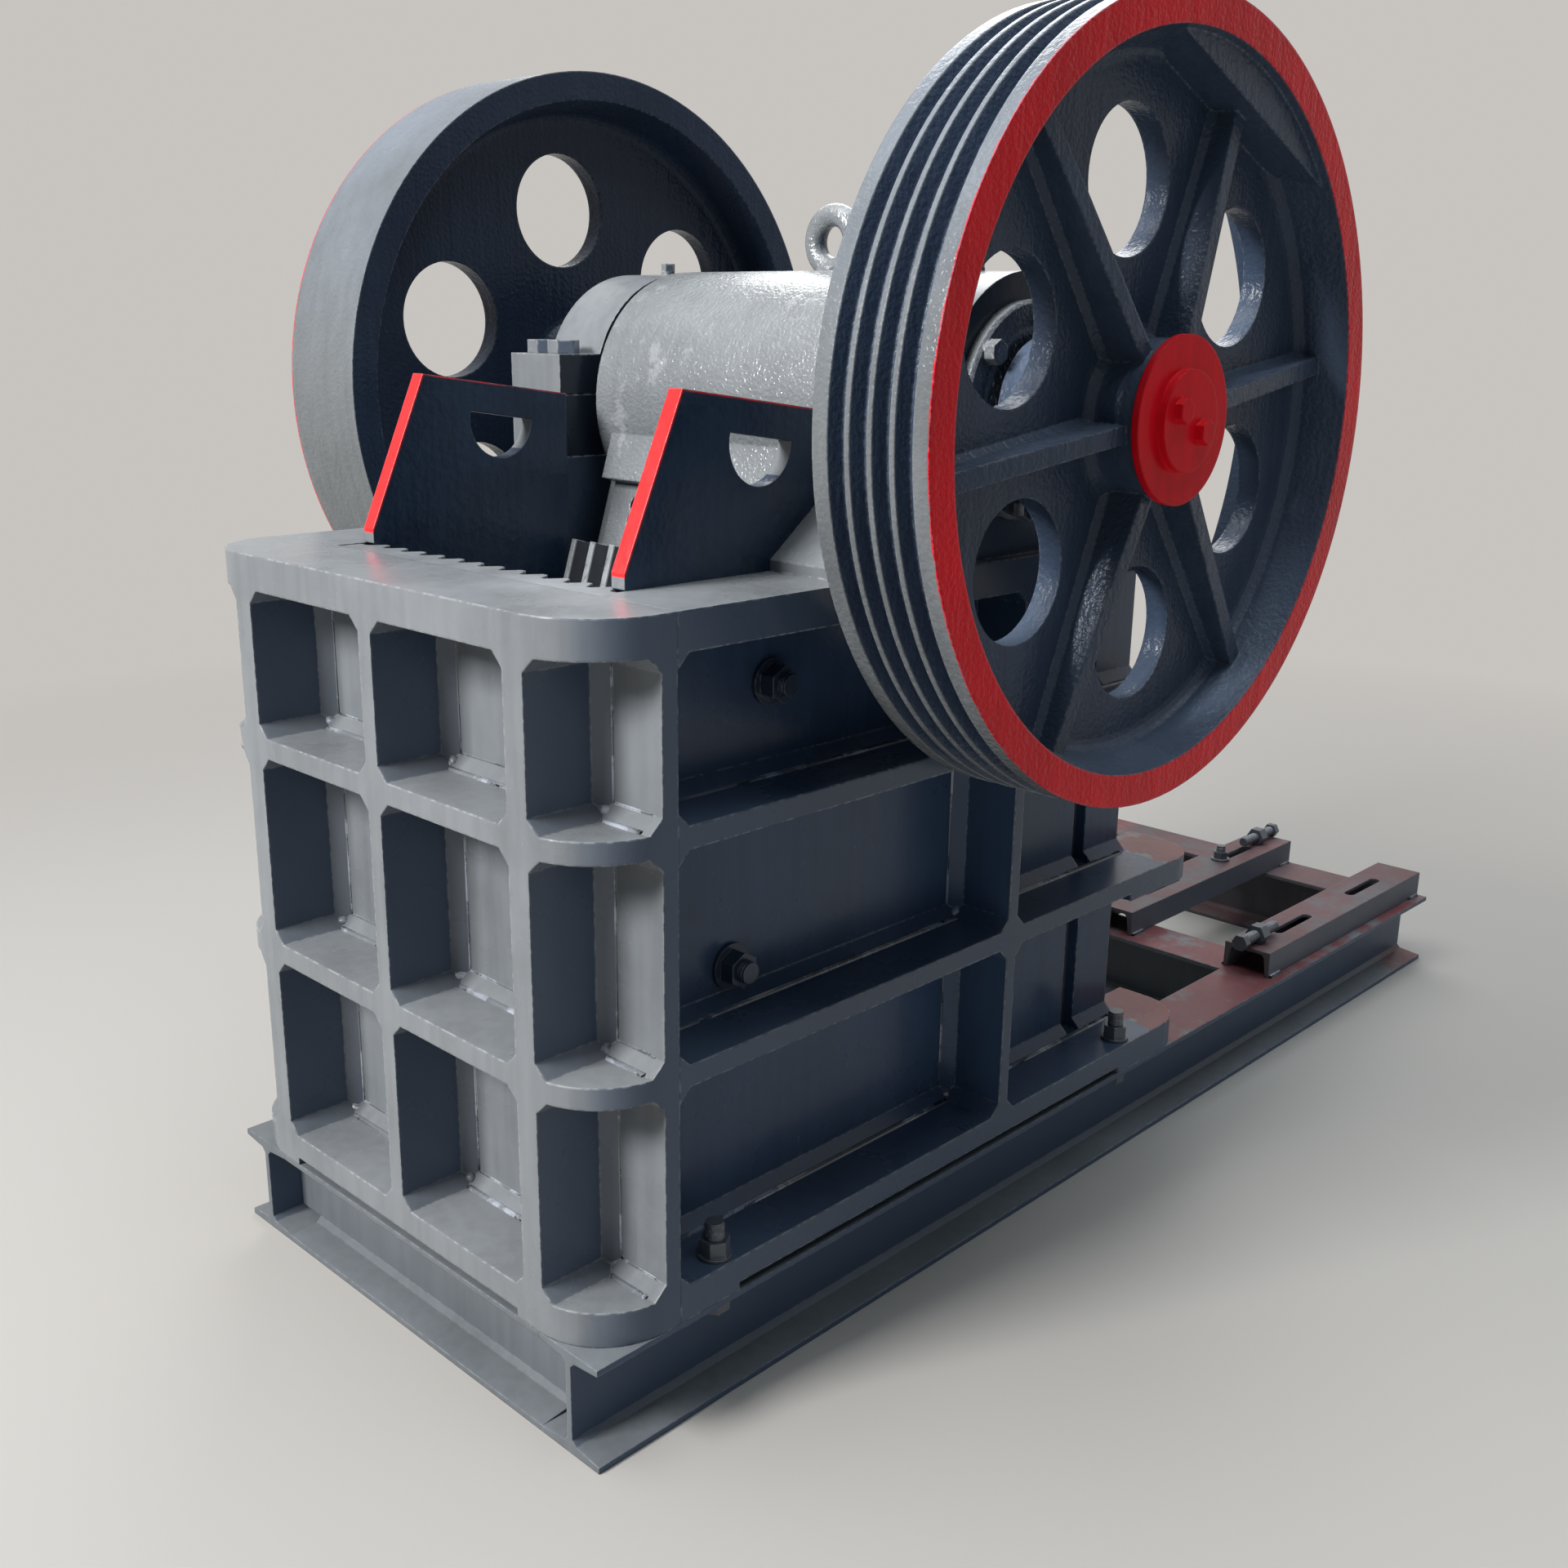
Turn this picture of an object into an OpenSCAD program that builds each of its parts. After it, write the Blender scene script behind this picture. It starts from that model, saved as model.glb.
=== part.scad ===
// Jaw crusher on a beam skid: ribbed frame, swing jaw on an eccentric shaft,
// grooved drive wheel on the +X side and plain flywheel on the -X side.
// X runs along the shaft, Y from the feed front to the motor end, Z up from the ground.
// Lengths are in millimetres. Heights and the Y places below are measured
// from the ground and from the front end of the skid.

/* [Skid] */
// Length of the two long beams
skid_l = 1980; // [1700:10:2600]
// Height of the rolled beams
beam_h = 122; // [90:1:180]
// Width of the beam flanges
beam_w = 94; // [60:1:120]
// Thickness of the beam webs
beam_web_t = 8; // [5:0.5:14]
// Thickness of the beam flanges at their tips
beam_tip_t = 7; // [5:0.5:12]
// How much thicker the flanges are at the web
beam_taper = 5; // [0:0.5:8]
// Middle of the cross beam behind the frame
cross_middle_y = 1440; // [1250:5:1520]

/* [Motor rails] */
// Width of the channel rails
rail_w = 80; // [60:1:100]
// Height of the channel rails
rail_h = 43; // [30:1:60]
// Thickness of the rail's top web
rail_web_t = 6; // [4:0.5:10]
// Thickness of the rail's legs
rail_leg_t = 8; // [4:0.5:12]
// Length of a rail
rail_l = 570; // [480:5:640]
// Middle of the inner rail across the skid
rail_inner_x = 37; // [0:1:120]
// Middle of the outer rail from the skid's side
rail_outer_set = 58; // [42:1:100]
// Length of a slot in a rail
slot_l = 118; // [60:1:150]
// Width of a slot in a rail
slot_w = 18; // [12:0.5:24]
// Distance between the middles of a rail's two slots
slot_pitch = 264; // [220:1:330]

/* [Frame] */
// Width over the frame's flanges
frame_w = 704; // [660:2:800]
// Height of the frame above the skid
frame_h = 754; // [700:2:860]
// Clear width between the side walls
chamber_w = 469; // [420:1:500]
// Thickness of the side walls
side_wall_t = 31; // [20:1:40]
// Thickness of the front wall
front_wall_t = 20; // [14:1:34]
// Depth of the ribs in front of the front wall
rib_depth = 94; // [60:1:110]
// Thickness of the middle rib on the front
middle_rib_t = 23; // [14:1:34]
// Thickness of the rib on each side
side_rib_t = 17; // [12:1:30]
// Front face of the rib on each side
side_rib_y = 662; // [560:2:760]
// Radius of the flanges' front corners
corner_r = 92; // [30:1:105]
// Size of the welded corner strips in the windows
strip = 15; // [4:1:24]
// Thickness of the top flange
top_flange_t = 40; // [24:1:50]
// Thickness of the two shelves
shelf_t = 24; // [14:1:34]
// Thickness of the bottom flange with its pads
base_flange_t = 40; // [26:1:50]
// Height of the machined pads under the bottom flange
pad_t = 10; // [4:1:14]
// Clear height of the two lower rows of windows
row_h = 228; // [200:1:245]
// Rear end of the side walls
wall_end_y = 1035; // [1010:1:1080]
// How far the flanges reach behind the side walls
rear_reach = 33; // [15:1:60]
// Front face of the rear wall
rear_wall_y = 951; // [930:1:970]
// Thickness of the rear wall's plate
rear_wall_t = 30; // [20:1:40]
// Thickness of the ribs behind the rear wall
rear_rib_t = 23; // [14:1:34]
// Width of the upright groove in each side wall
groove_w = 29; // [12:1:34]
// Depth of that groove
groove_d = 22; // [6:1:26]

/* [Bearings] */
// Middle of the shaft behind the skid's front end
shaft_y = 657; // [640:1:680]
// Height of the shaft above the frame's top
shaft_rise = 162; // [150:1:200]
// Width of a bearing housing along the shaft
housing_w = 101; // [90:1:110]
// Length of a bearing housing
housing_l = 420; // [400:2:440]
// Height of the base block below the shaft
housing_drop = 78; // [60:1:95]
// Thickness of the cap's feet above the shaft
cap_foot_t = 50; // [36:1:60]
// Outer radius of the cap
cap_r = 152; // [125:1:160]
// Outer radius of the main bearings
bearing_r = 72; // [66:1:76]
// Foot of the sloping front of the bearing pedestal
pedestal_y = 354; // [330:1:380]

/* [Shaft] */
// Throw of the eccentric
throw = 10; // [6:0.5:12]
// Direction of the counterweights from the rear level, the eccentric is opposite
counter_angle = 68; // [50:1:110]
// Radius of the eccentric inside the jaw's head
eccentric_r = 66; // [64:0.5:74]
// Radius of the shaft in the main bearings
journal_r = 50; // [46:0.5:54]
// Radius of the shaft in the wheels
seat_r = 42; // [34:0.5:45]
// Running clearance of shafts in their bores
running_fit = 0.05; // [0.02:0.01:0.08]

/* [Wheels] */
// Diameter of both wheels
wheel_d = 830; // [790:2:860]
// Outer faces of the rims from the middle of the machine
rim_face_x = 537; // [525:1:560]
// Width of the grooved wheel
pulley_w = 140; // [130:1:142]
// Width of the flywheel
flywheel_w = 147; // [135:1:150]
// Thickness of the rims at their faces
rim_t = 36; // [28:1:50]
// Thickness of the wheel webs
web_t = 28; // [20:1:36]
// How far the web lies behind the outer face
web_set = 60; // [50:1:66]
// Radius of the ring of holes in the webs
hole_ring_r = 240; // [225:1:250]
// Diameter of the holes in the webs
web_hole_d = 150; // [110:2:170]
// Thickness of the wheel ribs
wheel_rib_t = 18; // [12:1:26]
// Radius of the cast fillets in the wheels
wheel_fillet = 16; // [4:1:20]
// Radius of the wheel hubs
hub_r = 84; // [70:1:92]
// Distance of the counterweight's chord from the shaft
counter_chord = 336; // [325:1:350]
// Thickness of the counterweights
counter_t = 50; // [30:1:56]
// Number of belt grooves
groove_count = 4; // [2:1:4]
// Distance between belt grooves
groove_pitch = 27; // [24:0.5:30]
// Width of a belt groove at the rim
groove_top = 21; // [16:0.5:23]
// Depth of a belt groove
belt_groove_d = 16; // [10:0.5:20]
// Radius of the painted hub discs
disc_r = 88; // [70:1:96]
// Thickness of the hub discs
disc_t = 8; // [6:1:16]
// Radius of the small end plates
end_plate_r = 53; // [36:1:64]
// Thickness of the small end plates
end_plate_t = 9; // [6:1:16]

/* [Chamber] */
// Opening between the tooth tips at the top
gape = 256; // [220:1:275]
// Opening between the tooth tips at the bottom
discharge = 45; // [36:1:70]
// Bottom of the jaw plates above the skid
plates_z = 68; // [60:1:90]
// Top of the movable plate below the frame's top
movable_drop = 29; // [10:1:50]
// Top of the fixed plate below the frame's top
fixed_drop = 1; // [0.5:0.5:30]
// How far the movable plate stops short of the jaw's sides
movable_set = 21; // [14:1:30]
// Thickness of the plates behind their teeth
plate_t = 31; // [24:1:40]
// Height of the teeth
tooth_h = 18; // [10:1:22]
// Distance between teeth
tooth_pitch = 37; // [30:1:46]
// Thickness of the cheek plates
cheek_t = 20; // [12:1:24]
// Gap between the swing jaw and each cheek plate
jaw_gap = 5.5; // [5:0.5:8]
// Height of the cheek plates above the frame
cheek_rise = 192; // [150:1:210]
// Length of the cheek plates above the frame
cheek_l = 289; // [270:1:292]
// Width of the handle openings in the cheek plates
handle_w = 92; // [60:1:104]

/* [Swing jaw] */
// Radius of the jaw's head
head_r = 164; // [155:1:172]
// Half length of the jaw's head
head_half = 215; // [205:1:218]
// Thickness of the jaw's front plate
front_plate_t = 36; // [26:1:44]
// Thickness of the jaw's ribs
jaw_rib_t = 24; // [16:1:34]
// Thickness of the lifting eye's ring
eye_t = 28; // [22:1:30]
// How far the upper boss stands in front of the plate seat
boss_t = 22; // [12:1:26]
// Depth of the jaw at its lower end
jaw_depth = 150; // [130:1:165]

/* [Toggle] */
// Front face of the toggle block
block_y = 840; // [820:1:860]
// Height of the toggle seat in the block above the skid
block_rise = 222; // [200:1:240]
// Thickness of the toggle plate
toggle_t = 34; // [24:1:40]
// Height of the tension rod above the skid
rod_rise = 100; // [98:1:106]
// Diameter of the tension rod
rod_d = 24; // [16:1:28]
// Length of the spring at rest
spring_l = 126; // [100:1:140]
// Radius of the spring to the middle of its wire
spring_r = 44; // [42:1:47]
// Diameter of the spring's wire
wire_d = 11; // [8:0.5:12]
// Number of turns of the spring
spring_turns = 6; // [4:1:8]

/* [Hidden] */
$fn = 96;

grey = "slategray";
dark = "darkslategray";
red = "firebrick";
steel = "dimgray";
primer = "rosybrown";

// Skid
beam_x = frame_w / 2 - beam_w / 2;
inner_flange_x = beam_x - beam_w / 2;
beam_root_t = beam_tip_t + beam_taper;
rail_outer_x = frame_w / 2 - rail_outer_set;

// Frame levels
top_z = beam_h + frame_h;
base_z = beam_h + base_flange_t;
shelf_low_z = base_z + row_h;
shelf_high_z = shelf_low_z + shelf_t + row_h;
row_floor = [base_z, shelf_low_z + shelf_t, shelf_high_z + shelf_t];
row_roof = [shelf_low_z, shelf_high_z, top_z - top_flange_t];
rows = [0, 1, 2];
wall_in = chamber_w / 2;
wall_out = wall_in + side_wall_t;
side_depth = frame_w / 2 - wall_out;
wall_back_y = rib_depth + front_wall_t;
frame_end_y = wall_end_y + rear_reach;
pad_front_l = 200;
pad_rear_l = 125;
pad_w = 130;
tab_r = 26;
over = 1;

// Hold-down studs
stud_r = 10;
stud_af = 30;
stud_x = beam_x + beam_web_t / 2 + stud_af / 2 + 5;
stud_ys = [184, wall_end_y - 70];
bolt_play = 0.5;

// Shaft, bearings and pedestals
shaft_z = top_z + shaft_rise;
ecc_y = shaft_y - throw * cos(counter_angle);
ecc_z = shaft_z - throw * sin(counter_angle);
housing_out = wall_in + housing_w;
housing_front = shaft_y - housing_l / 2;
housing_rear = shaft_y + housing_l / 2;
pedestal_top = shaft_z - housing_drop;
pedestal_step = 12;
cover_t = 16;
cover_r = 122;
seal_t = 12;
seal_r = journal_r + 8;
cap_bolt_af = 36;
cap_bolt_r = 13.5;
cap_bolt_y = 33;
cap_bolt_x = 21;
cap_bolt_mid = 54;
cap_bolt_depth = 45;
shaft_end_x = rim_face_x - 4;
hub_in_x = housing_out + cover_t + 10.5;

// Wheels
rim_r = wheel_d / 2;
rim_in_r = rim_r - rim_t;
rim_slope = 12;
rib_draft = 3;
wheel_turn = counter_angle - 60;
rib_hub_drop = 12;
rib_rim_drop = 34;

// Chamber
plate_bottom_z = beam_h + plates_z;
movable_top_z = top_z - movable_drop;
plates_t = plate_t + tooth_h;
tip_front_y = wall_back_y + plates_t;
plate_rise = movable_top_z - plate_bottom_z;
fixed_rise = top_z - fixed_drop - plate_bottom_z;
nip = atan((gape - discharge) / plate_rise);
plate_l = plate_rise / cos(nip);
jaw_half = wall_in - cheek_t - jaw_gap;
movable_half = jaw_half - movable_set;
seat_y = tip_front_y + discharge + plates_t / cos(nip);

// Toggle and tension rod
block_t = 95;
block_h = 130;
block_play = 1;
nose = 10;
nose_set = 40;
nose_step = 14;
shim_set = 85;
block_z = beam_h + block_rise;
seat_local_z = 165;
seat_block_t = 20;
seat_block_h = 56;
toggle_r = toggle_t / 2;
toggle_gap = 1.05 * throw + 5.5;
jaw_seat_y = seat_y + (jaw_depth + seat_block_t) * cos(nip) + seat_local_z * sin(nip);
jaw_seat_z = plate_bottom_z - (jaw_depth + seat_block_t) * sin(nip) + seat_local_z * cos(nip);
rod_z = beam_h + rod_rise;
rod_start_y = seat_y + jaw_depth * cos(nip) + 62 * sin(nip);
rod_mid_z = rod_z + throw * sin(counter_angle);
spring_y = rear_wall_y + rear_wall_t;
washer_y = spring_y + spring_l + throw;
rod_end_y = washer_y + 52;

// Moves the whole model so that the skid's middle stands on the origin
module placed() {
    translate([0, -skid_l / 2, 0]) children();
}

// A flat shape drawn in Y and Z, drawn out along X
module along_x(l) {
    rotate([90, 0, 90]) linear_extrude(l) children();
}

// A flat shape drawn in X and Z, drawn out along Y
module along_y(l) {
    translate([0, l, 0]) rotate([90, 0, 0]) linear_extrude(l) children();
}

// A flat shape drawn in radius and X, turned about the shaft line
module turned_on_shaft() {
    translate([0, shaft_y, shaft_z]) rotate([0, 90, 0]) rotate_extrude($fn = 128) children();
}

// A round bar or bore along X
module bar_x(x0, x1, r, y, z) {
    translate([x0, y, z]) rotate([0, 90, 0]) cylinder(h = x1 - x0, r = r);
}

// A round bar or bore along Y
module bar_y(y0, y1, r, x, z) {
    translate([x, y0, z]) rotate([-90, 0, 0]) cylinder(h = y1 - y0, r = r);
}

// A hexagonal head or nut standing on z = 0
module hexagon(af, h) {
    cylinder(h = h, r = af / 2 / cos(30), $fn = 6);
}

// Draws its children on the left side and the right side
module both_sides() {
    children();
    mirror([1, 0, 0]) children();
}

// Rolled beam outline with tapered flanges, standing on z = 0
module beam_outline() {
    half = beam_w / 2;
    web = beam_web_t / 2;
    root = beam_root_t;
    polygon([
        [-half, 0], [half, 0], [half, beam_tip_t], [web + 6, root - 1], [web, root + 5],
        [web, beam_h - root - 5], [web + 6, beam_h - root + 1], [half, beam_h - beam_tip_t],
        [half, beam_h], [-half, beam_h], [-half, beam_h - beam_tip_t],
        [-web - 6, beam_h - root + 1], [-web, beam_h - root - 5], [-web, root + 5],
        [-web - 6, root - 1], [-half, beam_tip_t]
    ]);
}

module skid_beam(side) {
    color(grey) difference() {
        translate([side * beam_x, 0, 0]) along_y(skid_l) beam_outline();
        for (y = stud_ys)
            translate([side * stud_x, y, beam_h / 2]) cylinder(h = beam_h, r = stud_r + bolt_play);
    }
}

// Cross beam, its flanges end at the long beams' flanges and its web at their webs
module cross_beam(y) {
    web_half = beam_x - beam_web_t / 2;
    clear_z = beam_root_t + 5;
    translate([0, y, 0]) {
        translate([-inner_flange_x, 0, 0]) rotate([90, 0, 90])
            linear_extrude(2 * inner_flange_x) beam_outline();
        translate([-web_half, -beam_web_t / 2, clear_z])
            cube([2 * web_half, beam_web_t, beam_h - 2 * clear_z]);
    }
}

module skid_cross_front() {
    color(grey) cross_beam(beam_w / 2);
}

module skid_cross_middle() {
    color(grey) cross_beam(cross_middle_y);
}

module skid_cross_rear() {
    color(primer) cross_beam(skid_l - beam_w / 2);
}

// Motor rails
rail_y = cross_middle_y - 30;
rail_top_z = beam_h + rail_h;
clamp_y = rail_y + rail_l / 2 + slot_pitch / 2 - (slot_l - slot_w) / 2;
clamp_bolt_r = 8;
adjuster_r = 8;
adjuster_rise = 15;
adjuster_reach = 60;
adjuster_tail = 45;
adjuster_nut_af = 30;
adjuster_nut_t = 20;
adjuster_head_af = 24;
adjuster_head_t = 12;
inner_nut_from_end = 73;
outer_nut_from_end = 42;

module channel_outline() {
    difference() {
        translate([-rail_w / 2, 0]) square([rail_w, rail_h]);
        polygon([
            [-rail_w / 2 + rail_leg_t - 2, -over], [rail_w / 2 - rail_leg_t + 2, -over],
            [rail_w / 2 - rail_leg_t - 2, rail_h - rail_web_t - 5],
            [rail_w / 2 - rail_leg_t - 7, rail_h - rail_web_t],
            [-rail_w / 2 + rail_leg_t + 7, rail_h - rail_web_t],
            [-rail_w / 2 + rail_leg_t + 2, rail_h - rail_web_t - 5]
        ]);
    }
}

module slot_hole(y) {
    straight = slot_l - slot_w;
    translate([0, y - straight / 2, rail_h / 2]) {
        cylinder(h = rail_h, r = slot_w / 2);
        translate([0, straight, 0]) cylinder(h = rail_h, r = slot_w / 2);
        translate([-slot_w / 2, 0, 0]) cube([slot_w, straight, rail_h]);
    }
}

module motor_rail(x) {
    color(primer) translate([x, rail_y, beam_h]) difference() {
        along_y(rail_l) channel_outline();
        for (s = [-1, 1]) slot_hole(rail_l / 2 + s * slot_pitch / 2);
    }
}

// Adjusting bolt in a nut welded on a rail, the head points away from the slots
module adjusting_bolt(x, nut_y, dir) {
    translate([x, nut_y, rail_top_z + adjuster_rise]) rotate([-90 * dir, 0, 0]) {
        hexagon(adjuster_nut_af, adjuster_nut_t);
        translate([0, 0, -adjuster_tail]) cylinder(h = adjuster_tail + adjuster_reach, r = adjuster_r);
        translate([0, 0, adjuster_reach]) hexagon(adjuster_head_af, adjuster_head_t);
    }
}

module rail_adjusting_bolts() {
    color(steel) {
        adjusting_bolt(rail_inner_x, rail_y + rail_l - inner_nut_from_end, 1);
        adjusting_bolt(rail_outer_x, rail_y + outer_nut_from_end, -1);
    }
}

module rail_clamp_bolt() {
    color(steel) translate([rail_inner_x, clamp_y, rail_top_z]) {
        cylinder(h = 4, r = 17);
        translate([0, 0, 4]) hexagon(24, 13);
        translate([0, 0, -rail_web_t - 14]) cylinder(h = 48, r = clamp_bolt_r);
        translate([0, 0, -rail_web_t - 10]) hexagon(24, 10);
    }
}

// Window pocket, open towards -Y, with strips in every inner corner
module pocket(w, h, d) {
    c = strip;
    intersection() {
        translate([0, -over, 0]) along_y(d + over) polygon([
            [c, 0], [w - c, 0], [w, c], [w, h - c], [w - c, h], [c, h], [0, h - c], [0, c]
        ]);
        along_x(w) polygon([
            [-over, 0], [d - c, 0], [d, c], [d, h - c], [d - c, h], [-over, h]
        ]);
        linear_extrude(h) polygon([
            [0, -over], [w, -over], [w, d - c], [w - c, d], [c, d], [0, d - c]
        ]);
    }
}

// Plan of the frame's front with its round corners
module front_plan() {
    half = frame_w / 2;
    translate([-half, corner_r]) square([frame_w, wall_back_y - corner_r]);
    translate([-half + corner_r, 0]) square([frame_w - 2 * corner_r, corner_r + over]);
    for (s = [-1, 1]) translate([s * (half - corner_r), corner_r]) circle(r = corner_r);
}

// Front of the frame: one rounded block hollowed by four columns of window pockets
module frame_front() {
    column_w = wall_in - middle_rib_t / 2;
    ledge_h = 24;
    color(grey) {
        difference() {
            translate([0, 0, beam_h]) linear_extrude(frame_h) intersection() {
                front_plan();
                translate([-frame_w / 2, 0]) square([frame_w, wall_back_y]);
            }
            for (r = rows) {
                h = row_roof[r] - row_floor[r];
                for (x = [-wall_in, middle_rib_t / 2])
                    translate([x, 0, row_floor[r]]) pocket(column_w, h, rib_depth);
                both_sides() translate([wall_out, 0, row_floor[r]])
                    pocket(2 * side_depth, h, rib_depth);
            }
            translate([-frame_w / 2 + pad_w, -over, beam_h - over])
                cube([frame_w - 2 * pad_w, wall_back_y + 2 * over, pad_t + over]);
        }
        translate([-wall_in, wall_back_y, plate_bottom_z - ledge_h])
            cube([chamber_w, plates_t - 8, ledge_h]);
    }
}

// Plan of a side of the frame, the flanges' rear corner is round
module side_plan() {
    half = frame_w / 2;
    translate([wall_in, wall_back_y]) square([half - wall_in, frame_end_y - tab_r - wall_back_y]);
    translate([wall_in, wall_back_y]) square([half - wall_in - tab_r, frame_end_y - wall_back_y]);
    translate([half - tab_r, frame_end_y - tab_r]) circle(r = tab_r);
}

// Sloping pedestal on the top flange that carries the bearing housing
module pedestal() {
    translate([wall_in, 0, 0]) along_x(housing_w) polygon([
        [pedestal_y, top_z - over], [pedestal_y, top_z + pedestal_step],
        [housing_front, pedestal_top], [housing_rear, pedestal_top],
        [2 * shaft_y - pedestal_y, top_z + pedestal_step], [2 * shaft_y - pedestal_y, top_z - over]
    ]);
}

module side_pockets() {
    long_l = side_rib_y - wall_back_y;
    rear_y = side_rib_y + side_rib_t;
    for (r = rows) {
        h = row_roof[r] - row_floor[r];
        translate([frame_w / 2, wall_back_y, row_floor[r]]) rotate([0, 0, 90])
            pocket(long_l, h, side_depth);
        translate([frame_w / 2, rear_y, row_floor[r]]) rotate([0, 0, 90])
            pocket(2 * (frame_end_y - rear_y), h, side_depth);
        translate([wall_in - over, wall_end_y, row_floor[r]])
            cube([frame_w / 2, frame_end_y, h]);
        translate([wall_out - groove_d, rear_wall_y - groove_w, row_floor[r]])
            cube([side_depth, groove_w, h]);
    }
}

// Ledges inside a side wall that guide the toggle block
module block_guides() {
    guide_t = 18;
    for (z = [block_z - block_h / 2 - guide_t, block_z + block_h / 2 + 0.5])
        translate([wall_in - 18, block_y + 10, z])
            cube([18 + over, rear_wall_y - block_y - 10, guide_t]);
}

// Thicker pad under the lower shelf's rear end
module tab_pad() {
    translate([0, 0, shelf_low_z - pad_t]) linear_extrude(pad_t + over) intersection() {
        side_plan();
        translate([wall_out - over, frame_end_y - pad_rear_l]) square([frame_w, pad_rear_l]);
    }
}

module frame_side() {
    color(grey) difference() {
        union() {
            tab_pad();
            difference() {
                translate([0, 0, beam_h]) linear_extrude(frame_h) side_plan();
                side_pockets();
            }
            pedestal();
            block_guides();
        }
        for (y = stud_ys)
            translate([stud_x, y, beam_h - over])
                cylinder(h = base_flange_t + 2 * over, r = stud_r + bolt_play);
        for (b = cheek_bolt_at)
            bar_x(wall_in - over, wall_out + over, cheek_bolt_r + bolt_play, b[0], b[1]);
        translate([wall_in - over, pad_front_l, beam_h - over])
            cube([frame_w / 2, frame_end_y - pad_rear_l - pad_front_l, pad_t + over]);
        for (y = [housing_front, housing_rear], x = [-1, 1])
            cap_bolt_hole(x, y);
    }
}

// Rear of the frame between the side walls, ribbed behind, with the rod's opening
module frame_rear() {
    column_xs = [-wall_in, -rear_rib_x + rear_rib_t / 2, rear_rib_x + rear_rib_t / 2];
    column_ws = [wall_in - rear_rib_x - rear_rib_t / 2, 2 * rear_rib_x - rear_rib_t,
        wall_in - rear_rib_x - rear_rib_t / 2];
    depth = frame_end_y - rear_wall_y - rear_wall_t;
    color(grey) difference() {
        translate([-wall_in, rear_wall_y, beam_h])
            cube([chamber_w, frame_end_y - rear_wall_y, frame_h]);
        for (r = rows) {
            h = row_roof[r] - row_floor[r];
            for (c = [0, 1, 2])
                translate([column_xs[c] + column_ws[c], frame_end_y, row_floor[r]])
                    rotate([0, 0, 180]) pocket(column_ws[c], h, depth);
            translate([-wall_in - over, wall_end_y, row_floor[r]])
                cube([chamber_w + 2 * over, rear_reach + over, h]);
        }
        translate([-wall_in + 40, rear_wall_y - over, beam_h - over])
            cube([chamber_w - 80, frame_end_y, pad_t + over]);
        rod_opening();
    }
}

rear_rib_x = 80;

// Upright opening in the rear wall for the rod, which rises and falls with the jaw
module rod_opening() {
    slot_r = rod_d / 2 + 6;
    for (s = [-1, 1])
        bar_y(rear_wall_y - over, spring_y + over, slot_r, 0, rod_mid_z + s * throw);
    translate([-slot_r, rear_wall_y - over, rod_mid_z - throw])
        cube([2 * slot_r, rear_wall_t + 2 * over, 2 * throw]);
}

// Stud with nut and washer on the bottom flange and a head under the beam's flange
module hold_down_stud(x, y) {
    head_h = 12;
    under = beam_h - beam_root_t - head_h - 0.3;
    translate([x, y, 0]) {
        translate([0, 0, under]) rotate([0, 0, 30]) hexagon(stud_af, head_h);
        translate([0, 0, under]) cylinder(h = base_z + 42 - under, r = stud_r);
        translate([0, 0, base_z]) cylinder(h = 4, r = 19);
        translate([0, 0, base_z + 4]) hexagon(stud_af, 18);
    }
}

module hold_down_bolts() {
    color(steel) for (y = stud_ys, s = [-1, 1]) hold_down_stud(s * stud_x, y);
}

// Bearing housings
module housing_bore() {
    bar_x(wall_in + seal_t, housing_out + over, bearing_r, shaft_y, shaft_z);
    bar_x(wall_in - over, housing_out, seal_r, shaft_y, shaft_z);
}

module cap_bolt_hole(x, y) {
    toward = y < shaft_y ? 1 : -1;
    translate([wall_in + cap_bolt_mid + x * cap_bolt_x, y + toward * cap_bolt_y,
        shaft_z - cap_bolt_depth])
        cylinder(h = cap_bolt_depth + cap_foot_t + over, r = cap_bolt_r + bolt_play);
}

module bearing_base() {
    color(grey) difference() {
        translate([wall_in, housing_front, pedestal_top])
            cube([housing_w, housing_l, housing_drop]);
        housing_bore();
        for (y = [housing_front, housing_rear], x = [-1, 1]) cap_bolt_hole(x, y);
    }
}

module bearing_cap() {
    nipple_x = wall_in + 27;
    color(grey) {
        difference() {
            union() {
                translate([wall_in, housing_front, shaft_z])
                    cube([housing_w, housing_l, cap_foot_t]);
                bar_x(wall_in, housing_out, cap_r, shaft_y, shaft_z);
            }
            translate([wall_in - over, housing_front - over, shaft_z - 2 * cap_r])
                cube([housing_w + 2 * over, housing_l + 2 * over, 2 * cap_r]);
            housing_bore();
            for (y = [housing_front, housing_rear], x = [-1, 1]) cap_bolt_hole(x, y);
        }
        translate([nipple_x, shaft_y, shaft_z + cap_r - 2]) cylinder(h = 6, r = 9);
        translate([nipple_x, shaft_y, shaft_z + cap_r + 4]) hexagon(16, 10);
    }
}

module bearing_bolt(x, y) {
    toward = y < shaft_y ? 1 : -1;
    translate([wall_in + cap_bolt_mid + x * cap_bolt_x, y + toward * cap_bolt_y, shaft_z]) {
        translate([0, 0, cap_foot_t]) hexagon(cap_bolt_af, 17);
        translate([0, 0, 2 - cap_bolt_depth])
            cylinder(h = cap_bolt_depth + cap_foot_t, r = cap_bolt_r);
    }
}

module bearing_bolts() {
    color(steel) both_sides()
        for (y = [housing_front, housing_rear], x = [-1, 1]) bearing_bolt(x, y);
}

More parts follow.
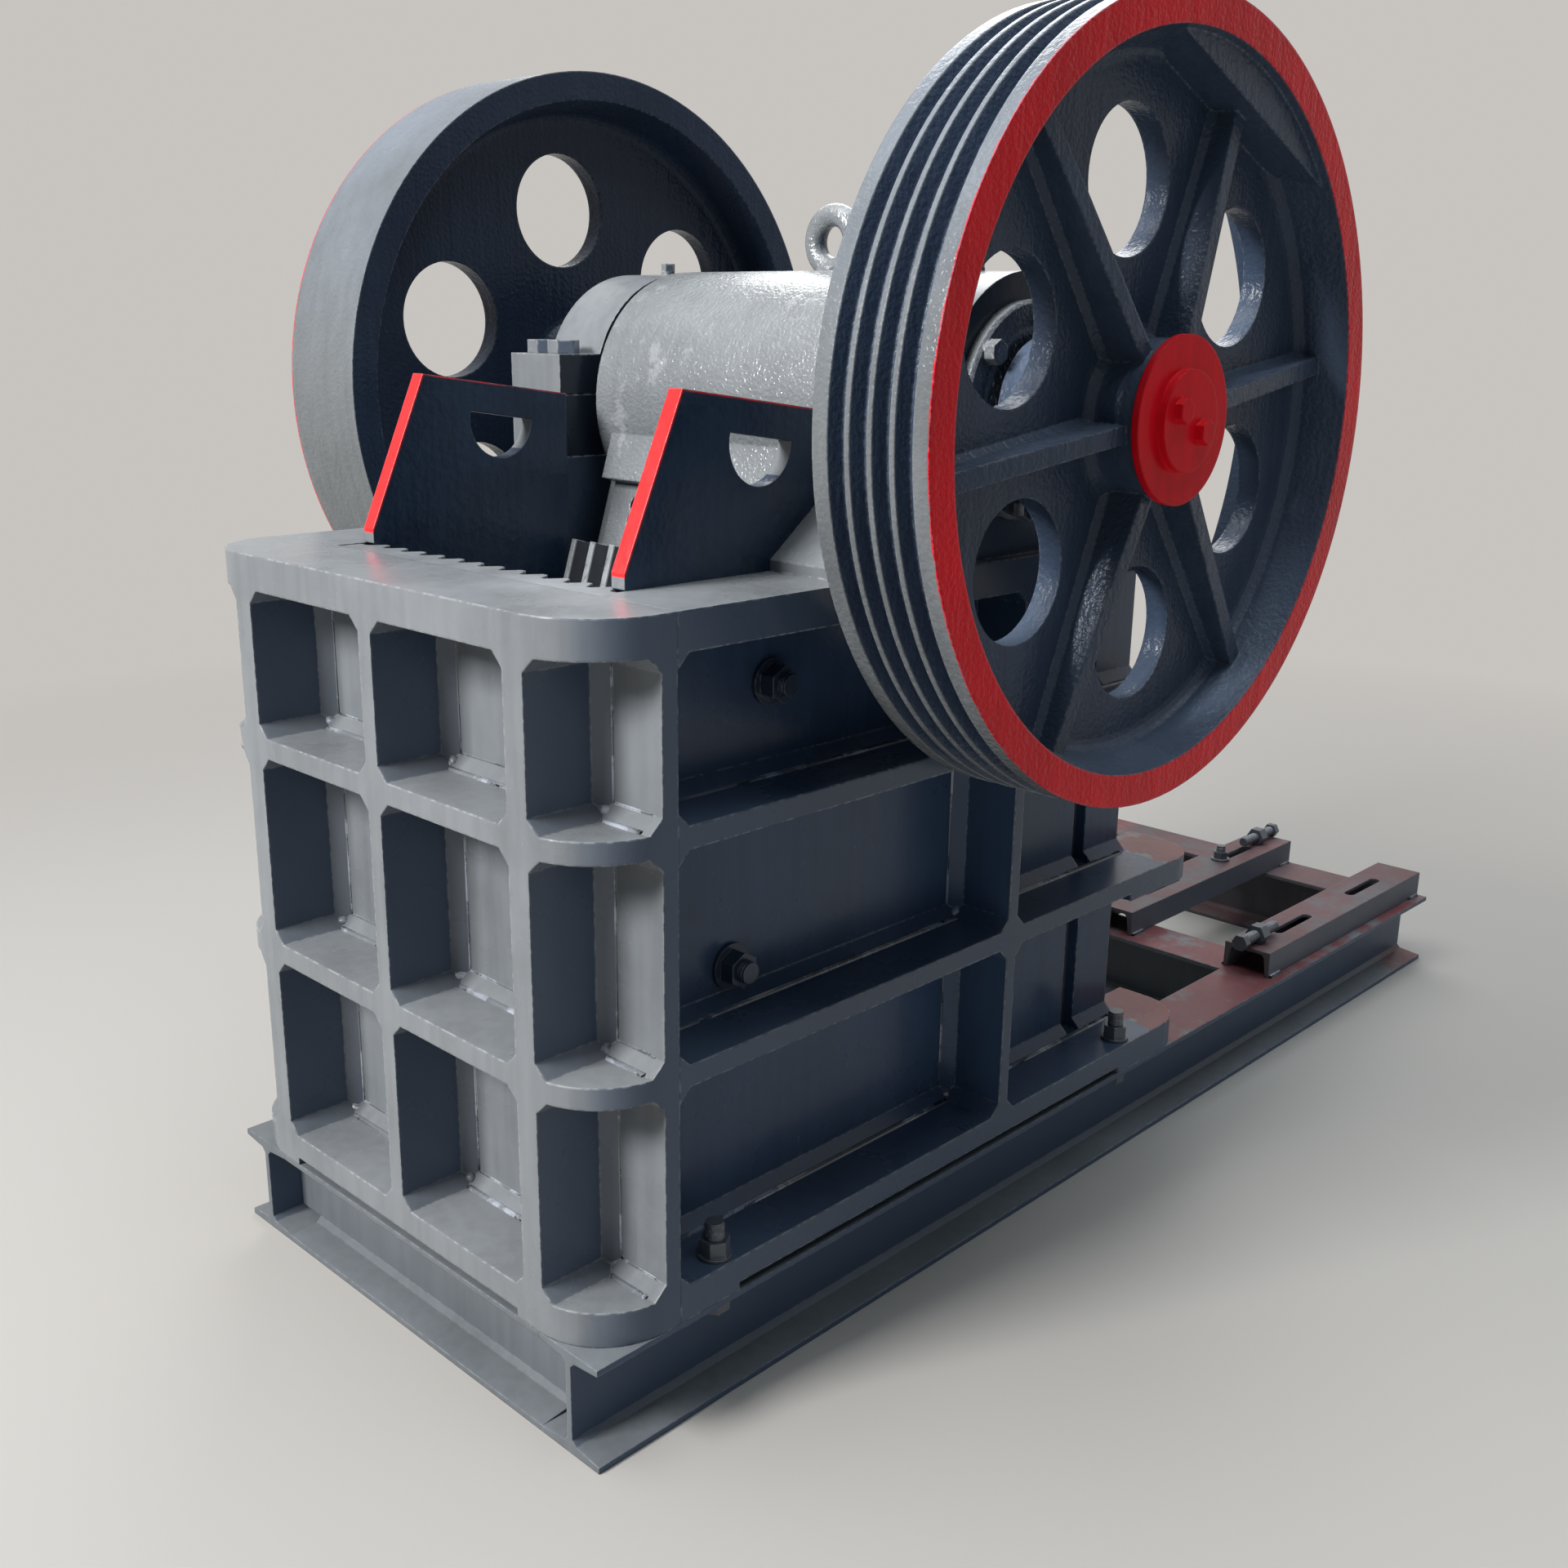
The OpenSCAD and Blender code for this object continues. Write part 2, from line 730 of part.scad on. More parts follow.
module main_bearings() {
    color("silver") both_sides() difference() {
        bar_x(wall_in + seal_t, housing_out - 0.3, bearing_r - running_fit, shaft_y, shaft_z);
        bar_x(wall_in, housing_out, journal_r + running_fit, shaft_y, shaft_z);
    }
}

module bearing_cover() {
    bolt_ring_r = 107;
    color(grey) {
        turned_on_shaft() polygon([
            [seal_r, housing_out], [cover_r, housing_out], [cover_r, housing_out + 10],
            [cover_r - 4, housing_out + cover_t - 2], [cover_r - 28, housing_out + cover_t - 2],
            [cover_r - 32, housing_out + cover_t], [seal_r, housing_out + cover_t]
        ]);
        for (i = [0:5])
            translate([housing_out + cover_t - 3, shaft_y + bolt_ring_r * cos(22 + 60 * i),
                shaft_z + bolt_ring_r * sin(22 + 60 * i)])
                rotate([0, 90, 0]) hexagon(24, 15);
    }
}

// Row of pointed teeth on a plate that stands upright, teeth towards +Y
module toothed_outline(half, first) {
    land = 8;
    foot = tooth_pitch - 5;
    intersection() {
        translate([-half, 0]) square([2 * half, plates_t + over]);
        union() {
            translate([-half, 0]) square([2 * half, plate_t]);
            for (x = [first:tooth_pitch:half], s = [-1, 1])
                translate([s * x, 0]) polygon([
                    [-foot / 2, plate_t - over], [foot / 2, plate_t - over],
                    [land / 2, plates_t], [-land / 2, plates_t]
                ]);
        }
    }
}

module fixed_jaw_plate() {
    color(dark) translate([0, wall_back_y, plate_bottom_z])
        linear_extrude(fixed_rise) toothed_outline(wall_in - 1, tooth_pitch / 2);
}

// Puts its children on the swing jaw's seat: X across, Z up along the seat, Y into the jaw
module on_jaw() {
    translate([0, seat_y, plate_bottom_z]) rotate([-nip, 0, 0]) children();
}

module movable_jaw_plate() {
    color(dark) on_jaw() mirror([0, 1, 0])
        linear_extrude(plate_l) toothed_outline(movable_half, 0);
}

// Cheek plates
cheek_bolt_r = 12;
cheek_head_r = 20.5;
cheek_head_t = 9;
cheek_washer_r = 26;
cheek_washer_t = 5;
cheek_nut_af = 36;
cheek_nut_t = 19;
cheek_bolt_stand = 34;
cheek_front_y = tip_front_y + 1;
cheek_foot_y = tip_front_y - 12;
cheek_bolt_at = [
    [cheek_front_y + 159, shelf_high_z + shelf_t + 99],
    [cheek_front_y + 102, shelf_low_z + shelf_t + 43]
];

module cheek_outline() {
    lean = 78;
    fall = 27;
    back_y = cheek_foot_y + cheek_l;
    difference() {
        polygon([
            [cheek_front_y, plate_bottom_z], [cheek_front_y, top_z - 8],
            [cheek_foot_y, top_z + 1], [cheek_foot_y, top_z + 17],
            [cheek_foot_y + lean, top_z + cheek_rise],
            [back_y, top_z + cheek_rise - fall], [back_y, top_z - 20],
            [cheek_front_y + 150, plate_bottom_z + 60], [cheek_front_y + 120, plate_bottom_z]
        ]);
        translate([cheek_front_y + 175, top_z + 136]) rotate(-8) intersection() {
            circle(r = handle_w / 2);
            translate([-handle_w, -handle_w]) square([2 * handle_w, handle_w + 5]);
        }
    }
}

module cheek_plate() {
    color(dark) difference() {
        translate([wall_in - cheek_t, 0, 0]) along_x(cheek_t) cheek_outline();
        for (b = cheek_bolt_at) {
            bar_x(wall_in - cheek_t - over, wall_in + over, cheek_bolt_r + bolt_play, b[0], b[1]);
            bar_x(wall_in - cheek_t - over, wall_in - cheek_t + cheek_head_t,
                cheek_head_r + bolt_play, b[0], b[1]);
        }
    }
}

module cheek_bolts() {
    color(steel) both_sides() for (b = cheek_bolt_at) {
        bar_x(wall_in - cheek_t + 0.5, wall_in - cheek_t + cheek_head_t, cheek_head_r, b[0], b[1]);
        bar_x(wall_in - cheek_t + 1, wall_out + cheek_bolt_stand, cheek_bolt_r, b[0], b[1]);
        bar_x(wall_out, wall_out + cheek_washer_t, cheek_washer_r, b[0], b[1]);
        translate([wall_out + cheek_washer_t, b[0], b[1]]) rotate([0, 90, 0])
            hexagon(cheek_nut_af, cheek_nut_t);
    }
}

// Block that carries the toggle plate, it slides between ledges on the side walls
module toggle_block() {
    block_half = wall_in - block_play;
    nose_half = wall_in - nose_set;
    color(steel) difference() {
        translate([0, block_y, block_z - block_h / 2]) union() {
            translate([-block_half, nose, 0]) cube([2 * block_half, block_t - nose, block_h]);
            translate([-nose_half, 0, nose_step])
                cube([2 * nose_half, nose + over, block_h - 2 * nose_step]);
        }
        translate([-toggle_half - 6, block_y - toggle_r + seat_depth, block_z])
            rotate([0, 90, 0]) cylinder(h = 2 * toggle_half + 12, r = toggle_r + 0.3);
    }
}

module adjusting_shims() {
    color(steel) for (i = [0, 1])
        translate([-shim_half, block_y + block_t + i * shim_t, block_z - shim_h / 2])
            cube([2 * shim_half, shim_t, shim_h]);
}

shim_t = (rear_wall_y - block_y - block_t) / 2;
shim_half = wall_in - shim_set;
shim_h = block_h - 12;
toggle_half = jaw_half - 25;
seat_depth = 14;
toggle_rear_y = block_y - toggle_r + seat_depth;
toggle_hole_r = 28;

// Cast toggle plate with thick rounded ends, held at the block end
module toggle_plate() {
    dy = toggle_rear_y - jaw_seat_y;
    dz = block_z - jaw_seat_z;
    reach = sqrt(dy * dy + dz * dz);
    end_y = toggle_gap + toggle_r;
    color(steel) translate([-toggle_half, jaw_seat_y, jaw_seat_z])
        rotate([atan2(dz, dy), 0, 0]) difference() {
            along_x(2 * toggle_half) union() {
                translate([end_y, 0]) circle(r = toggle_r);
                translate([reach, 0]) circle(r = toggle_r);
                polygon([
                    [end_y, -toggle_r], [end_y + 50, -toggle_r + 6], [reach - 50, -toggle_r + 6],
                    [reach, -toggle_r], [reach, toggle_r], [reach - 50, toggle_r - 6],
                    [end_y + 50, toggle_r - 6], [end_y, toggle_r]
                ]);
            }
            for (s = [-1, 1])
                translate([toggle_half + s * toggle_half / 2, (end_y + reach) / 2, -toggle_t])
                    cylinder(h = 2 * toggle_t, r = toggle_hole_r);
        }
}

// Points of the spring's wire, a ring of points for each step along the helix
wire_sides = 8;
spring_steps = 16 * spring_turns;

function spring_point(i, k) =
    let (turn = 360 * i / 16, ring = 360 * k / wire_sides,
        rad = spring_r + wire_d / 2 * cos(ring))
    [rad * cos(turn), rad * sin(turn),
        (spring_l - wire_d) * i / spring_steps + wire_d / 2 * sin(ring)];

module tension_spring() {
    points = [for (i = [0:spring_steps], k = [0:wire_sides - 1]) spring_point(i, k)];
    sides = [for (i = [0:spring_steps - 1], k = [0:wire_sides - 1])
        let (a = i * wire_sides, b = a + wire_sides, n = (k + 1) % wire_sides)
        [a + k, a + n, b + n, b + k]];
    start = [for (k = [wire_sides - 1:-1:0]) k];
    finish = [for (k = [0:wire_sides - 1]) spring_steps * wire_sides + k];
    color(steel) translate([0, spring_y + wire_d / 2, rod_mid_z])
        rotate([-90, 0, 0]) polyhedron(points = points, faces = concat(sides, [start, finish]));
}

// Shaft with its eccentric middle
module eccentric_shaft() {
    collar_x = head_half + 6;
    color("silver") {
        bar_x(-collar_x, collar_x, eccentric_r, ecc_y, ecc_z);
        bar_x(-hub_in_x, hub_in_x, journal_r, shaft_y, shaft_z);
        bar_x(-shaft_end_x, shaft_end_x, seat_r, shaft_y, shaft_z);
    }
}

// Points of a quarter round of radius r about [cx, cy] from angle a
function quarter(cx, cy, r, a, turn) =
    [for (i = [0:4]) [cx + r * cos(a + turn * i * 22.5), cy + r * sin(a + turn * i * 22.5)]];

// Half section of a wheel, from the inner face at x0, with a plain or grooved rim
module wheel_section(x0, w) {
    back_x = rim_face_x - web_set - web_t;
    face_x = rim_face_x - web_set;
    web_r = rim_in_r - rim_slope;
    f = wheel_fillet;
    polygon(concat(
        [[seat_r + 0.02, hub_in_x], [hub_r, hub_in_x]],
        quarter(hub_r + f, back_x - f, f, 180, -1),
        quarter(web_r - f, back_x - f, f, 90, -1),
        [[rim_in_r, x0], [rim_r, x0], [rim_r, x0 + w], [rim_in_r, x0 + w]],
        quarter(web_r - f, face_x + f, f, 0, -1),
        quarter(hub_r + f, face_x + f, f, 270, -1),
        [[hub_r, shaft_end_x], [seat_r + 0.02, shaft_end_x]]
    ));
}

// Radial ribs on the outer side of the web and the counterweight between rib and rim
module wheel_ribs() {
    web_x = rim_face_x - web_set;
    foot = wheel_rib_t / 2 + rib_draft;
    for (i = [0:5]) translate([0, shaft_y, shaft_z]) rotate([60 * i + wheel_turn, 0, 0])
        intersection() {
            translate([0, hub_r - 5, 0]) rotate([-90, 0, 0]) linear_extrude(rim_in_r - hub_r + 5)
                polygon([
                    [web_x - over, -foot - 6], [web_x + 7, -foot + 1],
                    [rim_face_x, -wheel_rib_t / 2], [rim_face_x, wheel_rib_t / 2],
                    [web_x + 7, foot - 1], [web_x - over, foot + 6]
                ]);
            translate([0, 0, -rim_t]) linear_extrude(2 * rim_t) polygon([
                [web_x - over, hub_r - 5], [rim_face_x - rib_hub_drop, hub_r - 5],
                [rim_face_x - rib_rim_drop, rim_in_r], [web_x - over, rim_in_r]
            ]);
        }
    translate([web_x - over, shaft_y, shaft_z]) rotate([counter_angle, 0, 0]) rotate([0, 90, 0])
        intersection() {
            cylinder(h = counter_t + over, r = rim_in_r);
            translate([-rim_r, counter_chord, 0]) cube([2 * rim_r, rim_r, counter_t + over]);
        }
}

module web_holes() {
    for (i = [0:5])
        bar_x(0, rim_face_x, web_hole_d / 2,
            shaft_y + hole_ring_r * cos(60 * i + 30 + wheel_turn),
            shaft_z + hole_ring_r * sin(60 * i + 30 + wheel_turn));
}

module pulley_wheel() {
    x0 = rim_face_x - pulley_w;
    first = x0 + (pulley_w - (groove_count - 1) * groove_pitch) / 2;
    bottom = groove_top - 2 * belt_groove_d * tan(17);
    color(grey) {
        difference() {
            turned_on_shaft() difference() {
                wheel_section(x0, pulley_w);
                for (i = [0:groove_count - 1]) translate([rim_r, first + i * groove_pitch])
                    polygon([
                        [over, -groove_top / 2 - over * tan(17)],
                        [over, groove_top / 2 + over * tan(17)],
                        [-belt_groove_d, bottom / 2], [-belt_groove_d, -bottom / 2]
                    ]);
            }
            web_holes();
        }
        wheel_ribs();
    }
}

module flywheel() {
    color(grey) mirror([1, 0, 0]) {
        difference() {
            turned_on_shaft() wheel_section(rim_face_x - flywheel_w, flywheel_w);
            web_holes();
        }
        wheel_ribs();
    }
}

// Painted disc, end plate and two bolts that hold a wheel on the shaft
module hub_disc() {
    bolt_y = 22.5;
    bolt_z = 11.5;
    plate_x = shaft_end_x + disc_t;
    color(red) {
        bar_x(shaft_end_x, plate_x, disc_r, shaft_y, shaft_z);
        bar_x(plate_x - over, plate_x + end_plate_t, end_plate_r, shaft_y, shaft_z);
        for (s = [-1, 1])
            translate([plate_x + end_plate_t - over, shaft_y + s * bolt_y, shaft_z - s * bolt_z])
                rotate([0, 90, 0]) hexagon(24, 10);
    }
}

// Outline of the swing jaw's ribs behind its front plate, drawn on the jaw's seat
module jaw_rib_outline() {
    polygon([
        [8, -6], [8, 860], [150, 900], [250, 862], [215, 740], [jaw_depth, 250],
        [jaw_depth, 60], [jaw_depth - 55, -6]
    ]);
}

// Cast swing jaw: bored head, front plate with its boss, ribs and toggle beam
module swing_jaw() {
    rib_xs = [-jaw_half + jaw_rib_t / 2 + 3, 0, jaw_half - jaw_rib_t / 2 - 3];
    boss_z = plate_l + 86;
    ring_r = 118;
    hole_x = 136;
    foot_l = plate_l + 6;
    color(grey) difference() {
        union() {
            bar_x(-head_half, head_half, head_r, ecc_y, ecc_z);
            bar_x(-head_half - 5, head_half + 5, ring_r, ecc_y, ecc_z);
            on_jaw() {
                translate([-movable_half, 0, -6])
                    cube([2 * movable_half, front_plate_t, plate_l + 180]);
                translate([-jaw_half, 7, -6]) cube([2 * jaw_half, front_plate_t - 7, foot_l]);
                translate([-movable_half - 2, -boss_t, boss_z])
                    cube([2 * movable_half + 4, boss_t + 30, 110]);
                for (x = rib_xs) translate([x - jaw_rib_t / 2, 0, 0])
                    along_x(jaw_rib_t) jaw_rib_outline();
                translate([-jaw_half, jaw_depth - 50, seat_local_z - 55])
                    cube([2 * jaw_half, 50, 110]);
                translate([-30, jaw_depth - 70, 30]) cube([60, 70, 66]);
            }
        }
        bar_x(-rim_r, rim_r, eccentric_r + running_fit, ecc_y, ecc_z);
        on_jaw() for (x = [-hole_x, hole_x], z = [plate_l + 39, plate_l + 60])
            translate([x, front_plate_t + over, z]) rotate([90, 0, 0])
                cylinder(h = front_plate_t + 2 * over, r = 13);
        bar_y(rod_start_y - 60, rod_start_y + 60, rod_d / 2 + 0.02, 0, rod_z);
    }
}

// Hardened seat for the toggle plate's front end
module toggle_seat() {
    color(steel) on_jaw() difference() {
        translate([-toggle_half - 10, jaw_depth, seat_local_z - seat_block_h / 2])
            cube([2 * toggle_half + 20, seat_block_t, seat_block_h]);
        translate([-toggle_half - 12, jaw_depth + seat_block_t + 6, seat_local_z])
            rotate([0, 90, 0]) cylinder(h = 2 * toggle_half + 24, r = toggle_r + 1);
    }
}

// Cast lifting eye standing across the head
module lifting_eye() {
    eye_y = ecc_y + 50;
    eye_z = ecc_z + head_r + 36;
    hole_r = 18;
    color(grey) difference() {
        union() {
            translate([0, eye_y, eye_z]) rotate([90, 0, 0])
                rotate_extrude() translate([hole_r + eye_t / 2, 0]) circle(r = eye_t / 2);
            translate([0, eye_y, eye_z - 64]) cylinder(h = 34, r = 24);
        }
        bar_x(-rim_r, rim_r, head_r + 0.2, ecc_y, ecc_z);
    }
}

module tension_rod() {
    color(steel) bar_y(rod_start_y - 55, rod_end_y, rod_d / 2, 0, rod_z);
}

// Nut and spring plate at the rod's rear end
module rod_nut() {
    plate_r = spring_r + wire_d / 2 + throw + 1;
    color(steel) difference() {
        union() {
            bar_y(washer_y, washer_y + 8, plate_r, 0, rod_z);
            translate([0, washer_y + 8, rod_z]) rotate([-90, 0, 0]) hexagon(36, 22);
        }
        bar_y(washer_y - over, rod_end_y, rod_d / 2 + 0.02, 0, rod_z);
    }
}

placed() skid_beam(-1);  // skid_beam_left
placed() skid_beam(1);  // skid_beam_right
placed() skid_cross_front();
placed() skid_cross_middle();
placed() skid_cross_rear();
placed() motor_rail(rail_inner_x);  // motor_rail_inner
placed() motor_rail(rail_outer_x);  // motor_rail_outer
placed() rail_adjusting_bolts();
placed() rail_clamp_bolt();
placed() frame_front();
placed() mirror([1, 0, 0]) frame_side();  // frame_side_left
placed() frame_side();  // frame_side_right
placed() frame_rear();
placed() hold_down_bolts();
placed() mirror([1, 0, 0]) bearing_base();  // bearing_base_left
placed() bearing_base();  // bearing_base_right
placed() mirror([1, 0, 0]) bearing_cap();  // bearing_cap_left
placed() bearing_cap();  // bearing_cap_right
placed() bearing_bolts();
placed() main_bearings();
placed() mirror([1, 0, 0]) bearing_cover();  // bearing_cover_left
placed() bearing_cover();  // bearing_cover_right
placed() fixed_jaw_plate();
placed() mirror([1, 0, 0]) cheek_plate();  // cheek_plate_left
placed() cheek_plate();  // cheek_plate_right
placed() cheek_bolts();
placed() toggle_block();
placed() adjusting_shims();
placed() toggle_plate();
placed() tension_spring();
placed() eccentric_shaft();
placed() pulley_wheel();
placed() flywheel();
placed() hub_disc();  // hub_disc_pulley
placed() mirror([1, 0, 0]) hub_disc();  // hub_disc_flywheel
placed() swing_jaw();
placed() movable_jaw_plate();
placed() toggle_seat();
placed() lifting_eye();
placed() tension_rod();
placed() rod_nut();
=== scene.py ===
import bpy
import math
from mathutils import Matrix, Vector


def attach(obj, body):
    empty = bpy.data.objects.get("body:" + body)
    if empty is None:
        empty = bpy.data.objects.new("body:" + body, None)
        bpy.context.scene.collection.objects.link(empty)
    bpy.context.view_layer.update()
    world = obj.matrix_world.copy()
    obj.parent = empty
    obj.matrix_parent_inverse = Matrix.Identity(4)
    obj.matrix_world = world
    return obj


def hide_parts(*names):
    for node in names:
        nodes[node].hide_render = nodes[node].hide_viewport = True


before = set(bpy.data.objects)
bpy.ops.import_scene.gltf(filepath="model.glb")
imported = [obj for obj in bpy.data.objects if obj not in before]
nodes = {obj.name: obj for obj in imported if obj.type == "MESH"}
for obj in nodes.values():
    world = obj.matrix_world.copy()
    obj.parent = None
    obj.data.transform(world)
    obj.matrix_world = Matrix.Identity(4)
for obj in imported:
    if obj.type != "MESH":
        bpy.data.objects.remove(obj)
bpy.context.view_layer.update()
scene = bpy.context.scene
print("loaded", len(nodes), "nodes")

beyond = 9.0  # metres, past the object on every side

# Camera at the photo's place: lens and sensor in millimetres, turn as a rotation vector
cameraSettings = {
    "place": (1.4362, -1.8602, 1.1361),
    "turn": (1.7442, 0.7162, -0.5199),
    "lens": 36.905,
    "sensor": 36,
}


def rotationFromVector(vec):
    angle = Vector(vec).length
    return Matrix.Rotation(angle, 3, Vector(vec).normalized())


worldToView = rotationFromVector(cameraSettings["turn"])
cameraData = bpy.data.cameras.new("photoCamera")
cameraData.lens = cameraSettings["lens"]
cameraData.sensor_width = cameraSettings["sensor"]
cameraData.sensor_height = cameraSettings["sensor"]
camera = bpy.data.objects.new("photoCamera", cameraData)
bpy.context.collection.objects.link(camera)
rightAxis = Vector(worldToView[0])
upAxis = -Vector(worldToView[1])
backAxis = -Vector(worldToView[2])
turned = Matrix((rightAxis, upAxis, backAxis)).transposed().to_4x4()
camera.matrix_world = Matrix.Translation(cameraSettings["place"]) @ turned
scene.camera = camera


def addNode(tree, kind, place, **values):
    node = tree.nodes.new(kind)
    node.location = place
    for name, value in values.items():
        setattr(node, name, value)
    return node


def join(tree, source, target):
    tree.links.new(source, target)


def setSocket(tree, socket, value):
    if isinstance(value, (int, float, tuple)):
        socket.default_value = value
    else:
        join(tree, value, socket)


def mathNode(tree, place, operation, first, second=None, clamp=False):
    node = addNode(tree, "ShaderNodeMath", place, operation=operation, use_clamp=clamp)
    setSocket(tree, node.inputs[0], first)
    if second is not None:
        setSocket(tree, node.inputs[1], second)
    return node.outputs[0]


def vectorNode(tree, place, operation, first, second=None, output="Vector"):
    node = addNode(tree, "ShaderNodeVectorMath", place, operation=operation)
    setSocket(tree, node.inputs[0], first)
    if second is not None:
        setSocket(tree, node.inputs[1], second)
    return node.outputs[output]


def mixColour(tree, place, factor, first, second):
    node = addNode(tree, "ShaderNodeMix", place, data_type="RGBA")
    setSocket(tree, node.inputs[0], factor)
    setSocket(tree, node.inputs[6], first)
    setSocket(tree, node.inputs[7], second)
    return node.outputs[2]


# Turns a value between two limits into another range
def rangeNode(tree, place, value, fromLow, fromHigh, toLow=0.0, toHigh=1.0):
    node = addNode(tree, "ShaderNodeMapRange", place)
    for socket, given in zip(node.inputs, (value, fromLow, fromHigh, toLow, toHigh)):
        setSocket(tree, socket, given)
    return node.outputs["Result"]


def noiseNode(tree, place, vector, scale, detail, rough=0.5):
    node = addNode(tree, "ShaderNodeTexNoise", place)
    setSocket(tree, node.inputs["Vector"], vector)
    setSocket(tree, node.inputs["Scale"], scale)
    node.inputs["Detail"].default_value = detail
    node.inputs["Roughness"].default_value = rough
    return node.outputs["Fac"]


def opaque(colour):
    return (*colour, 1)


# Starts a node group from the first values of its inputs and the kinds of its outputs
def newGroup(name, inputs, outputs):
    tree = bpy.data.node_groups.new(name, "ShaderNodeTree")
    for label, first in inputs.items():
        kind = "Float" if isinstance(first, float) else {3: "Vector", 4: "Color"}[len(first)]
        socket = tree.interface.new_socket(label, in_out="INPUT", socket_type="NodeSocket" + kind)
        socket.default_value = first
    for label, kind in outputs.items():
        tree.interface.new_socket(label, in_out="OUTPUT", socket_type="NodeSocket" + kind)
    enter = addNode(tree, "NodeGroupInput", (-1300, 0))
    leave = addNode(tree, "NodeGroupOutput", (900, 0))
    return tree, enter.outputs, leave.inputs


def useGroup(tree, place, group, values):
    node = addNode(tree, "ShaderNodeGroup", place, node_tree=group)
    for label, value in values.items():
        setSocket(tree, node.inputs[label], value)
    return node.outputs


black = (0.0, 0.0, 0.0, 1.0)
nowhere = (0.0, 0.0, 0.0)

# Strengths, scales and noise limits inside the node groups
effects = {
    "bevelSamples": 6, "edgeGain": 9.0,
    "streakStretch": (70.0, 70.0, 5.0), "blotchScale": 11.0,
    "patchRange": (0.3, 0.7), "brushRange": (0.35, 0.6), "brushDark": 0.90,
    "chipRange": (0.46, 0.58), "glossRange": (0.35, 0.68),
    "waverScale": 45.0, "zoneSharp": 2500.0, "rimSharp": 2000.0,
    "planeLead": 0.0022, "planeSharp": 1200.0,
    "tornWaver": 0.08, "tornRange": (0.40, 0.52), "rubbedRange": (0.30, 0.42), "rubbedLeast": 0.5,
    "wornRange": (0.595, 0.635), "paintedGlintRange": (0.50, 0.56), "thinRange": (0.40, 0.55),
    "sideRange": (0.48, 0.98),
}


# Masks for worn edges and for upward faces, and the normal with rounded edges
def makeWearGroup():
    tree, given, result = newGroup("edgesAndTops", {"Radius": 0.003},
                                   {"Edge": "Float", "Top": "Float", "Rounded": "Vector"})
    bevel = addNode(tree, "ShaderNodeBevel", (-900, 100), samples=effects["bevelSamples"])
    join(tree, given["Radius"], bevel.inputs["Radius"])
    geometry = addNode(tree, "ShaderNodeNewGeometry", (-900, -150))
    flat = geometry.outputs["Normal"]
    dot = vectorNode(tree, (-650, 100), "DOT_PRODUCT", bevel.outputs["Normal"], flat, "Value")
    bend = mathNode(tree, (-450, 100), "SUBTRACT", 1.0, dot, True)
    join(tree, mathNode(tree, (-250, 100), "MULTIPLY", bend, effects["edgeGain"], True), result["Edge"])
    parts = addNode(tree, "ShaderNodeSeparateXYZ", (-650, -200))
    join(tree, flat, parts.inputs[0])
    join(tree, mathNode(tree, (-250, -200), "MULTIPLY", parts.outputs["Z"], 1.0, True), result["Top"])
    join(tree, bevel.outputs["Normal"], result["Rounded"])
    return tree


# Large patches, small specks, upright brush streaks and torn blotches
def makePatchGroup():
    outputs = {"Patch": "Float", "Speck": "Float", "Streak": "Float", "Blotch": "Float"}
    tree, given, result = newGroup("patchesAndSpecks", {"Patch Scale": 5.0, "Speck Scale": 140.0}, outputs)
    place = addNode(tree, "ShaderNodeTexCoord", (-1300, 300)).outputs["Object"]
    join(tree, noiseNode(tree, (-500, 200), place, given["Patch Scale"], 5.0, 0.6), result["Patch"])
    join(tree, noiseNode(tree, (-500, -50), place, given["Speck Scale"], 2.0), result["Speck"])
    stretched = vectorNode(tree, (-800, -300), "MULTIPLY", place, effects["streakStretch"])
    join(tree, noiseNode(tree, (-500, -300), stretched, 1.0, 3.0), result["Streak"])
    join(tree, noiseNode(tree, (-500, -550), place, effects["blotchScale"], 8.0, 0.7), result["Blotch"])
    return tree


# A paint that differs a little from patch to patch and along the brush
def makePatchyGroup():
    inputs = {"Colour": black, "Amount": 0.1, "Patch": 0.5, "Streak": 0.5}
    tree, given, result = newGroup("patchyColour", inputs, {"Colour": "Color"})
    least = mathNode(tree, (-900, 200), "SUBTRACT", 1.0, given["Amount"])
    most = mathNode(tree, (-900, 0), "ADD", 1.0, given["Amount"])
    patchy = rangeNode(tree, (-600, 200), given["Patch"], *effects["patchRange"], least, most)
    brushed = rangeNode(tree, (-600, -100), given["Streak"], *effects["brushRange"], effects["brushDark"])
    both = mathNode(tree, (-300, 100), "MULTIPLY", patchy, brushed)
    join(tree, vectorNode(tree, (0, 100), "MULTIPLY", given["Colour"], both), result["Colour"])
    return tree


# Spots of another colour where the blotches pass a limit
def makeSpotGroup():
    inputs = {"Colour": black, "Spot Colour": black, "Blotch": 0.5, "From": 0.5, "To": 0.6}
    tree, given, result = newGroup("blotchSpots", inputs, {"Colour": "Color"})
    shown = rangeNode(tree, (-600, 0), given["Blotch"], given["From"], given["To"])
    join(tree, mixColour(tree, (0, 0), shown, given["Colour"], given["Spot Colour"]), result["Colour"])
    return tree
